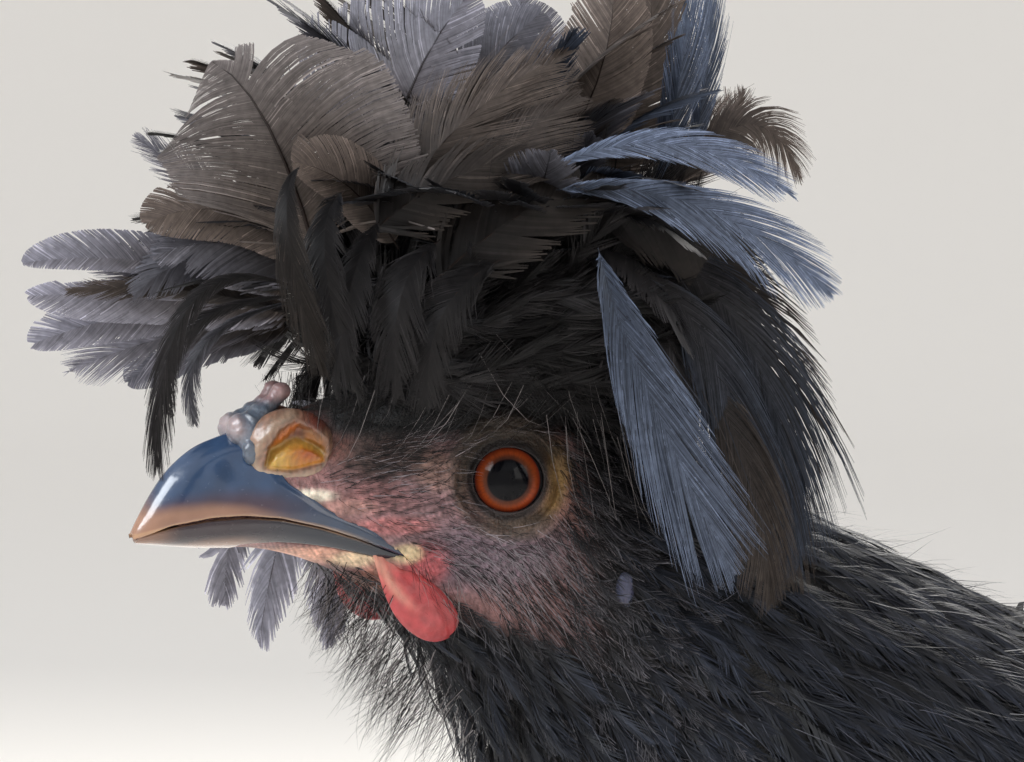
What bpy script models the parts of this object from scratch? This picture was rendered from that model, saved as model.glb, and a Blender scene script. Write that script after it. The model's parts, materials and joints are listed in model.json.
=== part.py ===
"""A crested hen of the Polish breed, standing at rest with its neck drawn in, life size.

Metres, +Z up. The bird faces -Y and its left side is at +X. The origin lies on the floor
under the middle of its bounding box. Sizes along the body are given from the eye: "forward"
is towards the beak, "up" is above the eye, and both are negative the other way.
"""

import math
import random

import bmesh
import bpy
from mathutils import Matrix, Vector
from mathutils.bvhtree import BVHTree

MM = 0.001
GAP = 0.3 * MM
CUT = 0.36 * MM

EYE_Y = -146.0 * MM
EYE_HEIGHT = 290.0 * MM

# The eye, set in the side of the head and turned a little to the front
EYE_RADIUS = 6.2 * MM
EYE_CENTRE_X = 9.0 * MM
EYE_BACK = 2.1
EYE_TURN = math.radians(20)
EYE_LIFT = math.radians(4)
LID_REACH = 4.1 * MM
LID_RING = 6.0 * MM
LID_THICK = 1.5 * MM

# Sections of the body from the beak's tip to the root of the tail, in millimetres from the eye:
# top forward, top up, bottom forward, bottom up, half width, widest place as a share of the
# height, roundness of the upper half, roundness of the lower half
HEAD_SECTIONS = (
    (44.5, -6.0, 44.5, -7.2, 0.5, 0.5, 2.0, 2.0),
    (43.7, -4.4, 43.7, -7.4, 1.3, 0.3, 1.8, 2.0),
    (41.9, -1.6, 41.9, -7.6, 2.3, 0.3, 1.8, 2.0),
    (39.4, 1.3, 39.4, -7.9, 3.3, 0.3, 1.8, 2.0),
    (36.3, 3.6, 36.3, -8.2, 4.3, 0.3, 1.8, 2.0),
    (32.7, 5.0, 32.7, -8.4, 5.1, 0.3, 1.8, 2.0),
    (29.5, 6.0, 29.5, -8.6, 5.9, 0.31, 1.8, 2.0),
    (26.0, 7.4, 26.0, -9.2, 6.8, 0.33, 1.9, 2.0),
    (21.5, 9.2, 21.5, -10.6, 8.0, 0.36, 2.0, 2.0),
    (16.5, 11.0, 16.5, -12.8, 9.6, 0.40, 2.1, 2.0),
    (11.0, 12.6, 12.0, -15.4, 11.4, 0.45, 2.2, 2.0),
    (5.0, 13.8, 8.0, -18.0, 12.8, 0.50, 2.2, 2.0),
    (-2.0, 14.4, 6.0, -20.5, 13.8, 0.52, 2.2, 2.0),
    (-9.0, 13.6, 4.5, -23.5, 14.6, 0.52, 2.1, 2.0),
    (-16.0, 11.0, 3.0, -26.5, 15.6, 0.50, 2.0, 2.0),
    (-23.0, 7.6, 1.5, -29.5, 17.0, 0.50, 2.0, 2.0),
)
NECK_SECTIONS = (
    (-32.0, 3.4, 0.0, -33.0, 19.6, 0.50, 2.0, 2.0),
    (-43.0, -1.6, -1.0, -38.0, 23.5, 0.50, 2.0, 2.0),
    (-55.0, -6.6, -1.5, -45.0, 28.5, 0.50, 2.0, 2.0),
    (-68.0, -12.0, -1.0, -54.0, 35.0, 0.50, 2.0, 2.1),
    (-82.0, -18.0, 0.5, -67.0, 43.0, 0.48, 2.0, 2.1),
)
TORSO_SECTIONS = (
    (-97.0, -24.0, 2.0, -84.0, 51.0, 0.47, 2.0, 2.2),
    (-112.0, -29.5, 0.0, -105.0, 58.0, 0.47, 2.0, 2.2),
    (-127.0, -34.5, -10.0, -128.0, 63.5, 0.48, 2.0, 2.2),
    (-142.0, -39.0, -30.0, -150.0, 66.5, 0.50, 2.0, 2.1),
    (-157.0, -43.0, -60.0, -168.0, 68.0, 0.51, 2.0, 2.0),
    (-172.0, -46.5, -98.0, -179.0, 68.0, 0.52, 2.0, 2.0),
    (-188.0, -50.0, -138.0, -182.0, 66.0, 0.52, 2.0, 2.0),
    (-204.0, -53.0, -172.0, -176.0, 62.0, 0.52, 2.0, 2.0),
    (-220.0, -56.0, -201.0, -163.0, 55.0, 0.53, 2.0, 2.0),
    (-235.0, -59.0, -225.0, -146.0, 46.0, 0.54, 2.0, 2.0),
    (-249.0, -62.5, -243.0, -128.0, 35.0, 0.55, 2.0, 2.0),
    (-261.0, -67.0, -257.0, -111.0, 23.5, 0.55, 2.0, 2.0),
    (-270.0, -74.0, -267.0, -97.0, 11.5, 0.5, 2.0, 2.0),
)
SECTION_SIDES = 20

# The mouth's line and the edge of the horn, forward and up in millimetres
MOUTH_LINE = ((48.0, -7.6), (45.0, -6.7), (40.0, -5.2), (35.5, -4.3), (31.5, -4.1),
              (27.0, -4.5), (22.0, -5.7), (17.5, -7.2), (13.5, -8.9))
HORN_EDGE = ((19.5, -3.8), (25.2, 0.4), (29.4, 4.4), (30.4, 9.0), (30.4, 18.0))
CHIN_EDGE = ((18.0, -13.0), (18.0, -21.0))

NOSTRIL = (25.0, 4.2)
NOSTRIL_SIDE = 4.3 * MM

# Soft parts of the face
COMB_PLACE = (21.5, 7.0)
COMB_HEIGHT = 5.6 * MM
WATTLE_PLACE = (8.2, -14.6)
WATTLE_SIDE = 10.2 * MM
WATTLE_LENGTH = 13.0 * MM
WATTLE_WIDTH = 5.4 * MM
EARLOBE_RADIUS = 3.6 * MM
EARLOBE_PLACE = (-15.5, -14.5)

# The crest: a mop of broad feathers that grow from a core on the crown. Each tier has its feathers'
# angle above level at the root and at the tip, their count and how far they reach.
CREST_CORE_CENTRE = (-5.0, 19.0)
CREST_CORE_SIZE = (17.5 * MM, 24.0 * MM, 14.0 * MM)
CREST_MOP_CENTRE = (2.0, 23.0)
CREST_MOP_SIZE = (42.0 * MM, 45.0 * MM, 45.0 * MM)
CREST_TIERS = ((78, 72, 5, 1.0), (60, 50, 7, 1.0), (42, 28, 10, 1.0), (22, 8, 11, 0.98), (0, -8, 10, 0.93))
CREST_FEATHER_WIDTH = 18.5 * MM
# Feathers that leave the mop's outline: compass angle and rise of the root in degrees, then the tip
# forward, up and to the left, the height of the arch and the width, in millimetres
CREST_LOCKS = (
    (12, 35, (43.0, 2.0, 5.0), 16, 9),
    (-14, 25, (50.0, 27.0, -16.0), 9, 13),
    (-28, 18, (48.0, 17.0, -25.0), 9, 13),
    (15, 45, (34.0, 50.0, 7.0), 10, 17),
    (150, 45, (-42.0, 36.0, 9.0), 13, 15),
    (138, 32, (-43.0, 23.0, 20.0), 13, 16),
    (118, 18, (-27.0, -7.0, 31.0), 20, 19),
    (140, 8, (-31.0, -16.0, 27.0), 20, 17),
)
# Short feathers laid back over the core's edge above each eye: count, length and width
CREST_FRINGE = (5, 23.0 * MM, 14.0 * MM)
CREST_SEED = 11

VANE_THICK = 0.62 * MM

# The folded wing, laid on an egg-shaped surface just outside the torso's side
WING_CENTRE = (-150.0, -92.0)
WING_STANDS_OUT = 75.5 * MM
WING_FRONT, WING_REAR = 150.0, 122.0
WING_ABOVE, WING_BELOW = 60.0, 68.0
PAD_CENTRE = (-116.0, -95.0)
PAD_SIZE = (55.0, 33.0)
# Rows from the wing's tip to its shoulder: count, first and last root, first and last tip (forward and
# up in millimetres), width and lift in millimetres
WING_ROWS = (
    (4, ((-122, -116), (-120, -100)), ((-238, -114), (-260, -86)), 15, -5.4),
    (6, ((-114, -122), (-142, -80)), ((-203, -132), (-236, -74)), 19.5, -2.6),
    (5, ((-94, -119), (-128, -79)), ((-146, -126), (-186, -71)), 22, 0.2),
    (3, ((-86, -110), (-106, -80)), ((-120, -115), (-150, -75)), 26, 2.8),
)
WING_SHINGLE = 1.2 * MM
WING_ROOT_DEPTH = 5.0 * MM

# The tail
TAIL_ROOT = (-254.0, -76.0)
TAIL_LENGTH = 122.0 * MM
TAIL_SHINGLE = 2.0 * MM
# Tiers of the tail on each side: count, length as a share, width in millimetres, lift in millimetres
TAIL_TIERS = ((7, 1.0, 27, 0.0), (4, 0.6, 26, 4.2), (2, 0.36, 26, 8.0))

# Legs and feet
HIP_X, HOCK_X, FOOT_X = 33.0 * MM, 34.0 * MM, 36.0 * MM
THIGH_TOP = (-128.0, -150.0)
HOCK = (-158.0, -205.0)
FOOT = (-130.0, -281.5)
SHANK_RADIUS = 4.3 * MM
SCUTES = 8
TOE_RADIUS = 4.4 * MM
SOLE_LIFT = 3.5 * MM
TOES = {
    "inner": (-27.0, 33.0 * MM),
    "middle": (3.0, 47.0 * MM),
    "outer": (34.0, 36.0 * MM),
    "back": (163.0, 19.0 * MM),
}
CLAW_LENGTH = 12.0 * MM
CLAW_RADIUS = 2.2 * MM

PLUMAGE = ((0.028, 0.027, 0.030), 0.5)
SKIN = ((0.42, 0.17, 0.15), 0.6)
HORN = ((0.075, 0.095, 0.125), 0.25)
IRIS = ((0.55, 0.12, 0.02), 0.1)
WATTLE = ((0.62, 0.10, 0.10), 0.5)
EARLOBE = ((0.55, 0.58, 0.72), 0.55)
SHANK = ((0.12, 0.14, 0.16), 0.5)
CLAW = ((0.05, 0.045, 0.045), 0.3)


def at(forward, up, x=0.0):
    """A point given in millimetres forward of the eye and above it, and metres to the side."""
    return Vector((x, EYE_Y - forward * MM, EYE_HEIGHT + up * MM))


def clear_scene():
    for obj in list(bpy.data.objects):
        bpy.data.objects.remove(obj)


def new_collection(name):
    made = bpy.data.collections.new(name)
    bpy.context.scene.collection.children.link(made)
    return made


def finish_of(name, look):
    """A Principled material of that colour and roughness."""
    colour, roughness = look
    material = bpy.data.materials.get(name) or bpy.data.materials.new(name)
    material.use_nodes = True
    shader = material.node_tree.nodes["Principled BSDF"]
    shader.inputs["Base Color"].default_value = (*colour, 1.0)
    shader.inputs["Roughness"].default_value = roughness
    shader.inputs["Metallic"].default_value = 0.0
    return material


def mesh_object(name, bm):
    """Turns a bmesh into an object with its faces pointing out."""
    bmesh.ops.recalc_face_normals(bm, faces=bm.faces)
    mesh = bpy.data.meshes.new(name)
    bm.to_mesh(mesh)
    bm.free()
    obj = bpy.data.objects.new(name, mesh)
    bpy.context.scene.collection.objects.link(obj)
    return obj


def loft(name, rings):
    """A closed skin over rings of equally many points, each end closed by a flat cap."""
    bm = bmesh.new()
    loops = [[bm.verts.new(point) for point in ring] for ring in rings]
    for near, far in zip(loops, loops[1:]):
        for i in range(len(near)):
            j = (i + 1) % len(near)
            bm.faces.new((near[i], near[j], far[j], far[i]))
    bm.faces.new(loops[0])
    bm.faces.new(loops[-1])
    return mesh_object(name, bm)


def ellipsoid(name, centre, sizes, turn=None, segments=16, rings=10):
    """A sphere primitive scaled to three half sizes and turned."""
    bm = bmesh.new()
    bmesh.ops.create_uvsphere(bm, u_segments=segments, v_segments=rings, radius=1.0)
    place = Matrix.Translation(centre) @ (turn or Matrix.Identity(4)) @ Matrix.Diagonal((*sizes, 1.0))
    bmesh.ops.transform(bm, matrix=place, verts=bm.verts)
    return mesh_object(name, bm)


def limb(name, points, radii, roundness=2):
    """A tube through the points with a radius at each, from a bevelled curve with welded caps."""
    data = bpy.data.curves.new(name, "CURVE")
    data.dimensions = "3D"
    data.bevel_depth = 1.0
    data.bevel_resolution = roundness
    data.use_fill_caps = True
    spline = data.splines.new("POLY")
    spline.points.add(len(points) - 1)
    for place, point, radius in zip(spline.points, points, radii):
        place.co = (*point, 1.0)
        place.radius = radius
    guide = bpy.data.objects.new(name + "_curve", data)
    bpy.context.scene.collection.objects.link(guide)
    bpy.context.view_layer.update()
    mesh = bpy.data.meshes.new_from_object(guide.evaluated_get(bpy.context.evaluated_depsgraph_get()))
    bpy.data.objects.remove(guide)
    bm = bmesh.new()
    bm.from_mesh(mesh)
    bpy.data.meshes.remove(mesh)
    bmesh.ops.remove_doubles(bm, verts=bm.verts, dist=0.01 * MM)
    return mesh_object(name, bm)


def copy_of(obj, name):
    twin = bpy.data.objects.new(name, obj.data.copy())
    bpy.context.scene.collection.objects.link(twin)
    return twin


def left_surface(obj, forward, up):
    """The outermost point of the shape's left side, seen from the side at (forward, up)."""
    bm = bmesh.new()
    bm.from_mesh(obj.data)
    hit = BVHTree.FromBMesh(bm).ray_cast(at(forward, up, 1.0), Vector((-1, 0, 0)))[0]
    bm.free()
    return hit


def grown(obj, amount=CUT):
    """A copy whose points are moved out by the gap that touching pieces keep."""
    twin = copy_of(obj, obj.name + "_grown")
    bm = bmesh.new()
    bm.from_mesh(twin.data)
    bm.normal_update()
    for vert in bm.verts:
        vert.co += vert.normal * amount * min(1.5, vert.calc_shell_factor())
    bm.to_mesh(twin.data)
    bm.free()
    return twin


def mirrored(obj, name):
    """The same shape on the bird's right side."""
    twin = copy_of(obj, name)
    twin.data.transform(Matrix.Diagonal((-1, 1, 1, 1)))
    twin.data.flip_normals()
    twin.data.materials.clear()
    for material in obj.data.materials:
        twin.data.materials.append(material)
    return twin


def combine(target, others, operation):
    """Applies one Boolean of a collection of closed meshes to the target and removes them."""
    tools = new_collection("tools")
    for obj in others:
        for owner in obj.users_collection:
            owner.objects.unlink(obj)
        tools.objects.link(obj)
    cut = target.modifiers.new("cut", "BOOLEAN")
    cut.operation = operation
    cut.operand_type = "COLLECTION"
    cut.collection = tools
    cut.solver = "MANIFOLD"
    bpy.context.view_layer.update()
    mesh = bpy.data.meshes.new_from_object(target.evaluated_get(bpy.context.evaluated_depsgraph_get()))
    target.modifiers.clear()
    target.data = mesh
    for obj in list(tools.objects):
        bpy.data.objects.remove(obj)
    bpy.data.collections.remove(tools)
    return keep_largest(target)


def keep_largest(obj):
    """Leaves only the largest closed surface, without loose scraps or sealed hollows."""
    bm = bmesh.new()
    bm.from_mesh(obj.data)
    bmesh.ops.triangulate(bm, faces=bm.faces)
    islands, seen = [], set()
    for start in bm.faces:
        if start in seen:
            continue
        island, queue = [], [start]
        seen.add(start)
        while queue:
            face = queue.pop()
            island.append(face)
            for edge in face.edges:
                for other in edge.link_faces:
                    if other not in seen:
                        seen.add(other)
                        queue.append(other)
        islands.append(island)

    def volume(island):
        return sum(f.verts[0].co.dot(f.verts[1].co.cross(f.verts[2].co)) for f in island)

    islands.sort(key=volume)
    scraps = [face for island in islands[:-1] for face in island]
    bmesh.ops.delete(bm, geom=scraps, context="FACES")
    bm.to_mesh(obj.data)
    bm.free()
    return obj


def halved(obj, name, point, normal):
    """The part of the shape on the side that the normal points away from, closed by a flat face."""
    twin = copy_of(obj, name)
    bm = bmesh.new()
    bm.from_mesh(twin.data)
    everything = bm.verts[:] + bm.edges[:] + bm.faces[:]
    cut = bmesh.ops.bisect_plane(bm, geom=everything, plane_co=point, plane_no=normal, clear_outer=True)
    rim = [item for item in cut["geom_cut"] if isinstance(item, bmesh.types.BMEdge)]
    bmesh.ops.holes_fill(bm, edges=rim)
    bmesh.ops.recalc_face_normals(bm, faces=bm.faces)
    bm.to_mesh(twin.data)
    bm.free()
    return twin


def prism(name, outline, half_width):
    """A flat outline in the plane of symmetry, forward and up, thickened to both sides."""
    bm = bmesh.new()
    sides = [[bm.verts.new(at(f, u, x)) for f, u in outline] for x in (-half_width, half_width)]
    for i in range(len(outline)):
        j = (i + 1) % len(outline)
        bm.faces.new((sides[0][i], sides[0][j], sides[1][j], sides[1][i]))
    bm.faces.new(sides[0])
    bm.faces.new(sides[1])
    return mesh_object(name, bm)


def section_ring(section):
    """The points round one section of the body."""
    top_f, top_u, low_f, low_u, half_width, widest, roof, keel = section
    top, low = at(top_f, top_u), at(low_f, low_u)
    middle = low.lerp(top, widest)
    ring = []
    for i in range(SECTION_SIDES):
        angle = 2 * math.pi * i / SECTION_SIDES
        side, rise = math.sin(angle), math.cos(angle)
        power = roof if rise > 0 else keel
        x = half_width * MM * math.copysign(abs(side) ** (2 / power), side)
        reach = (top - middle) if rise > 0 else (low - middle)
        ring.append(middle + reach * abs(rise) ** (2 / power) + Vector((x, 0, 0)))
    return ring


def body_cut(near, far):
    """A plane across the body, half way between two sections, as a point and a normal to the rear."""
    top = at((near[0] + far[0]) / 2, (near[1] + far[1]) / 2)
    low = at((near[2] + far[2]) / 2, (near[3] + far[3]) / 2)
    normal = (top - low).cross(Vector((1, 0, 0))).normalized()
    if normal.y < 0:
        normal.negate()
    return top.lerp(low, 0.5), normal


def eye_axis(side=1):
    return Vector((side * math.cos(EYE_TURN) * math.cos(EYE_LIFT),
                   -math.sin(EYE_TURN) * math.cos(EYE_LIFT), math.sin(EYE_LIFT)))


def eye_centre(side=1):
    return at(-EYE_BACK, -0.4, side * EYE_CENTRE_X)


def part_the_body():
    """Lofts the whole bird without limbs and parts it into head, neck, torso and beak."""
    whole = loft("whole", [section_ring(s) for s in HEAD_SECTIONS + NECK_SECTIONS + TORSO_SECTIONS])
    neck_point, neck_normal = body_cut(HEAD_SECTIONS[-2], HEAD_SECTIONS[-1])
    torso_point, torso_normal = body_cut(NECK_SECTIONS[-1], TORSO_SECTIONS[0])
    front = halved(whole, "head", neck_point - neck_normal * GAP / 2, neck_normal)
    rest = halved(whole, "rest", neck_point + neck_normal * GAP / 2, -neck_normal)
    neck = halved(rest, "neck", torso_point - torso_normal * GAP / 2, torso_normal)
    torso = halved(rest, "torso", torso_point + torso_normal * GAP / 2, -torso_normal)
    for obj in (whole, rest):
        bpy.data.objects.remove(obj)
    return front, neck, torso


def part_the_beak(front):
    """Takes the two halves of the horn off the front of the head along the mouth's line."""
    half_gap, reach = 0.21, 20 * MM
    high, low = HORN_EDGE[-1][1], CHIN_EDGE[-1][1]
    ahead, mouth = MOUTH_LINE[0][0] + 12.0, MOUTH_LINE[0][1]

    def shifted(points, forward, up=0.0):
        return [(f + forward, u + up) for f, u in points]

    upper_outline = (shifted(MOUTH_LINE, half_gap, half_gap) + shifted(HORN_EDGE, half_gap)
                     + [(ahead, high), (ahead, mouth + half_gap)])
    lower_outline = (shifted(MOUTH_LINE, half_gap, -half_gap) + shifted(CHIN_EDGE, half_gap)
                     + [(ahead, low), (ahead, mouth - half_gap)])
    both_outline = (shifted(HORN_EDGE[::-1] + MOUTH_LINE[-1:] + CHIN_EDGE, -half_gap)
                    + [(ahead, low), (ahead, high)])
    upper, lower = copy_of(front, "beak_upper"), copy_of(front, "beak_lower")
    combine(upper, [prism("upper_side", upper_outline, reach)], "INTERSECT")
    combine(lower, [prism("lower_side", lower_outline, reach)], "INTERSECT")
    combine(front, [prism("both_sides", both_outline, reach)], "DIFFERENCE")
    return upper, lower


def dress_the_head(head):
    """Adds the lids, the brows and the nasal bumps, and cuts the eye sockets and nostrils."""
    added, cutters = [], []
    for side in (1, -1):
        axis, centre = eye_axis(side), eye_centre(side)
        turn = axis.to_track_quat("Z", "Y").to_matrix().to_4x4()
        bpy.ops.mesh.primitive_torus_add(
            major_segments=14, minor_segments=6, major_radius=LID_RING, minor_radius=LID_THICK,
            location=centre + axis * LID_REACH, rotation=turn.to_euler())
        ring = bpy.context.object
        ring.data.transform(ring.matrix_world)
        ring.matrix_world = Matrix.Identity(4)
        added.append(ring)
        added.append(ellipsoid("brow", at(0, 7.2, side * 9.0 * MM), (4.3 * MM, 9 * MM, 3.6 * MM),
                               segments=8, rings=6))
        added.append(ellipsoid("nasal_bump", at(24.6, 5.2, side * 3.2 * MM),
                               (3.5 * MM, 5.2 * MM, 4.4 * MM), segments=8, rings=6))
        cutters.append(ellipsoid("socket", centre, (EYE_RADIUS + GAP,) * 3, segments=12, rings=8))
        cutters.append(ellipsoid("nostril", at(*NOSTRIL, side * (NOSTRIL_SIDE + 2.2 * MM)),
                                 (2.6 * MM, 2.9 * MM, 1.9 * MM), segments=8, rings=6))
    combine(head, added, "UNION")
    combine(head, cutters, "DIFFERENCE")


def make_eye():
    return ellipsoid("eye_left", eye_centre(), (EYE_RADIUS,) * 3, segments=12, rings=8)


def make_comb(head):
    """A small comb of two horns that part to the sides, on the root of the beak."""
    horns = []
    for side in (1, -1):
        foot = at(*COMB_PLACE, side * 1.0 * MM)
        tip = foot + Vector((side * 1.6 * MM, -0.5 * MM, COMB_HEIGHT))
        middle = foot.lerp(tip, 0.55)
        horns.append(limb("horn", [foot, middle, tip], [2.3 * MM, 1.9 * MM, 1.0 * MM]))
    comb = horns.pop()
    comb.name = "comb"
    combine(comb, horns, "UNION")
    combine(comb, [grown(head)], "DIFFERENCE")
    return comb


def make_wattle(head, beak_lower):
    """A small leaf of red skin that hangs from the corner of the mouth."""
    slope = Matrix.Rotation(math.radians(48), 4, "X") @ Matrix.Rotation(math.radians(8), 4, "Z")
    wattle = ellipsoid("wattle_left", at(*WATTLE_PLACE, WATTLE_SIDE),
                       (2.5 * MM, WATTLE_LENGTH / 2, WATTLE_WIDTH / 2), slope, segments=10, rings=8)
    combine(wattle, [grown(head), grown(beak_lower)], "DIFFERENCE")
    return wattle


def make_earlobe(head, neck):
    """A small pale pad of skin below the ear, where the head joins the neck."""
    middle = left_surface(neck, *EARLOBE_PLACE) + Vector((0.5 * MM, 0, 0))
    earlobe = ellipsoid("earlobe_left", middle,
                        (2.4 * MM, EARLOBE_RADIUS, EARLOBE_RADIUS * 1.15), segments=10, rings=6)
    combine(earlobe, [grown(head), grown(neck)], "DIFFERENCE")
    return earlobe


def vane(rows, thick=VANE_THICK):
    """A thin closed feather from rows of (one edge, other edge, face normal), its faces split alike."""
    bm = bmesh.new()
    rings = []
    for left, right, normal in rows:
        lift = normal * thick / 2
        rings.append([bm.verts.new(p) for p in (left + lift, right + lift, right - lift, left - lift)])
    for near, far in zip(rings, rings[1:]):
        for a, b in ((0, 1), (1, 2), (3, 0)):
            bm.faces.new((near[a], near[b], far[b]))
            bm.faces.new((near[a], far[b], far[a]))
        bm.faces.new((near[2], near[3], far[2]))
        bm.faces.new((near[3], far[3], far[2]))
    for ring in (rings[0], rings[-1]):
        bm.faces.new((ring[0], ring[1], ring[2]))
        bm.faces.new((ring[0], ring[2], ring[3]))
    return mesh_object("vane", bm)


def vane_share(t, root=0.28):
    """A feather's width at t along it, as a share of its greatest width: narrow root, blunt tip."""
    return root + (1 - root) * math.sin(math.pi * t / 1.12) ** 0.9


def arched_feather(root, control, tip, width, facing, roll):
    """A crest feather along a bent path, its face to the outside of the bend and then rolled."""
    bend = (control - root.lerp(tip, 0.5)).normalized() + facing.normalized()
    rows = []
    for t in (0.0, 0.38, 0.76, 1.0):
        point = root * (1 - t) ** 2 + control * 2 * t * (1 - t) + tip * t ** 2
        along = ((control - root) * (1 - t) + (tip - control) * t).normalized()
        face = (bend - along * bend.dot(along)).normalized()
        face.rotate(Matrix.Rotation(roll, 3, along))
        across = along.cross(face) * width / 2 * vane_share(t)
        rows.append((point - across, point + across, face))
    return vane(rows)


def share_between(value, low, high):
    """0 below the low value, 1 above the high one, and a smooth rise between them."""
    share = min(1.0, max(0.0, (value - low) / (high - low)))
    return share * share * (3 - 2 * share)


def direction(compass, elevation):
    """A unit vector at a compass angle from the front towards the left, and above level, in degrees."""
    turn, rise = math.radians(compass), math.radians(elevation)
    return Vector((math.sin(turn) * math.cos(rise), -math.cos(turn) * math.cos(rise), math.sin(rise)))


def crest_root(compass, rise):
    """A place well inside the crest's core, towards that direction."""
    return at(*CREST_CORE_CENTRE) + Vector(
        a * b * 0.72 for a, b in zip(direction(compass, rise), CREST_CORE_SIZE))


def crest_feather(compass, tier, draw):
    """One feather of the crest: it rises from the core, arches out and ends on the mop's outline."""
    root_rise, tip_rise, _, reach = tier
    behind = share_between(abs(compass), 98, 132) if compass > 0 else share_between(abs(compass), 38, 90)
    level = math.cos(math.radians(root_rise)) ** 0.7
    over_face = share_between(compass, 8, 30) * (1 - share_between(compass, 95, 125))
    swept = over_face * share_between(30 - tip_rise, 0, 30)
    tip_rise += draw.uniform(-5, 5) - 52 * behind * level
    if behind < 0.1:
        tip_rise = max(tip_rise, 1 + 14 * over_face)
    normal = direction(compass, root_rise)
    outward = direction(compass + 38 * swept, 0) * math.cos(math.radians(tip_rise * (1 - 0.5 * behind)))
    outward.z = math.sin(math.radians(tip_rise))
    root = crest_root(compass, root_rise)
    mop = Vector(CREST_MOP_SIZE) * reach * draw.uniform(0.95, 1.05)
    tip = root.lerp(at(*CREST_MOP_CENTRE) + Vector(a * b for a, b in zip(outward, mop)), 1 - 0.3 * swept)
    arch = (normal * 0.75 + Vector((0, 0, 0.5 - 0.3 * swept))).normalized()
    control = root + arch * (tip - root).length * 0.52
    facing = direction(compass, 180) if root_rise > 55 else normal + Vector((0, 0, 0.6 * (1 - swept)))
    width = CREST_FEATHER_WIDTH * draw.uniform(0.88, 1.12) * (1 - 0.2 * swept)
    return arched_feather(root, control, tip, width, facing, 0.28 + draw.uniform(-0.1, 0.1))


def crest_lock(compass, rise, tip, arch, width):
    """A long feather with a tip of its own that stands out of the mop."""
    root, tip = crest_root(compass, rise), at(tip[0], tip[1], tip[2] * MM)
    normal = direction(compass, rise)
    control = root.lerp(tip, 0.5) + (normal + Vector((0, 0, 1))).normalized() * arch * MM
    return arched_feather(root, control, tip, width * MM, normal + Vector((0, 0, 0.8)), 0.2)


def crest_fringe(side):
    """The short feathers over the eye, laid back over the lower edge of the core."""
    count, length, width = CREST_FRINGE
    feathers = []
    for i in range(count):
        compass = side * (24 + 21 * i)
        root = crest_root(compass, -30)
        normal = direction(compass, 5)
        back = direction(compass + side * 70, 12)
        control = root + (normal * 0.8 + back * 0.3) * length * 0.5
        tip = control + (back + normal * 0.15).normalized() * length * 0.6
        feathers.append(arched_feather(root, control, tip, width, normal, -0.2 * side))
    return feathers


def crest_feathers():
    """The crest's feathers in tiers, from upright ones on the crown to hanging ones at the sides."""
    draw = random.Random(CREST_SEED)
    feathers = [crest_lock(*lock) for lock in CREST_LOCKS]
    for side in (1, -1):
        feathers += crest_fringe(side)
    for number, tier in enumerate(CREST_TIERS):
        count = tier[2]
        for i in range(count):
            compass = 360 * (i + 0.5 * (number % 2)) / count + draw.uniform(-4, 4) - 180
            feathers.append(crest_feather(compass, tier, draw))
    return feathers


def make_crest(neighbours):
    crest = ellipsoid("crest", at(*CREST_CORE_CENTRE), CREST_CORE_SIZE, segments=10, rings=6)
    room_for_comb = ellipsoid("room_for_comb", at(22.0, 11.0), (4.6 * MM, 3.6 * MM, 7.5 * MM),
                              segments=10, rings=6)
    combine(crest, crest_feathers(), "UNION")
    combine(crest, [grown(obj, 1.5 * GAP) for obj in neighbours] + [room_for_comb], "DIFFERENCE")
    return crest


def wing_point(forward, up, lift):
    """A point on the left wing's outer surface, seen from the side at (forward, up), and lifted out."""
    along = (forward - WING_CENTRE[0]) / (WING_FRONT if forward > WING_CENTRE[0] else WING_REAR)
    across = (up - WING_CENTRE[1]) / (WING_ABOVE if up > WING_CENTRE[1] else WING_BELOW)
    out = math.sqrt(max(0.09, 1 - along ** 2 - across ** 2))
    return at(forward, up, WING_STANDS_OUT * out + lift)


def wing_vane(root, tip, width, lift):
    """A wing feather between two places seen from the side, its lower edge standing out over the next."""
    rows = []
    run = (tip - root).normalized()
    upward = Vector((run.y, -run.x))
    for t in (0.0, 0.4, 0.8, 1.0):
        middle = root.lerp(tip, t)
        half = upward * width / 2 * vane_share(t, 0.12)
        high, low, ahead = middle + half, middle - half, middle + run
        rise = lift - WING_ROOT_DEPTH * (1 - min(1.0, t / 0.4)) ** 2
        upper = wing_point(high.x, high.y, rise - WING_SHINGLE)
        lower = wing_point(low.x, low.y, rise + WING_SHINGLE)
        along = wing_point(ahead.x, ahead.y, lift) - wing_point(middle.x, middle.y, lift)
        face = (upper - lower).cross(along).normalized()
        rows.append((upper, lower, face if face.x > 0 else -face))
    return vane(rows)


def wing_row(count, roots, tips, width, lift):
    """A row of wing feathers, their roots and tips spread between two places each."""
    row = []
    for i in range(count):
        root = Vector(roots[0]).lerp(Vector(roots[1]), i / (count - 1))
        tip = Vector(tips[0]).lerp(Vector(tips[1]), i / (count - 1))
        row.append(wing_vane(root, tip, width, lift * MM))
    return row


def wing_pad():
    """The wing's arm and small coverts, a low cushion that the rows of feathers grow from."""
    sides = 12
    rings = []
    for size, sink in ((1.0, 30.0), (1.0, 6.5), (0.72, 0.6)):
        ring = []
        for i in range(sides):
            angle = 2 * math.pi * i / sides
            forward = PAD_CENTRE[0] + PAD_SIZE[0] * size * math.cos(angle)
            up = PAD_CENTRE[1] + PAD_SIZE[1] * size * math.sin(angle)
            ring.append(wing_point(forward, up, -sink * MM))
        rings.append(ring)
    return loft("wing_left", rings)


def make_wing(torso, neck):
    """The folded wing: the cushion with two rows of coverts, the secondaries and the primaries' ends."""
    wing = wing_pad()
    combine(wing, [feather for row in WING_ROWS for feather in wing_row(*row)], "UNION")
    combine(wing, [grown(torso), grown(neck)], "DIFFERENCE")
    return wing


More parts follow.
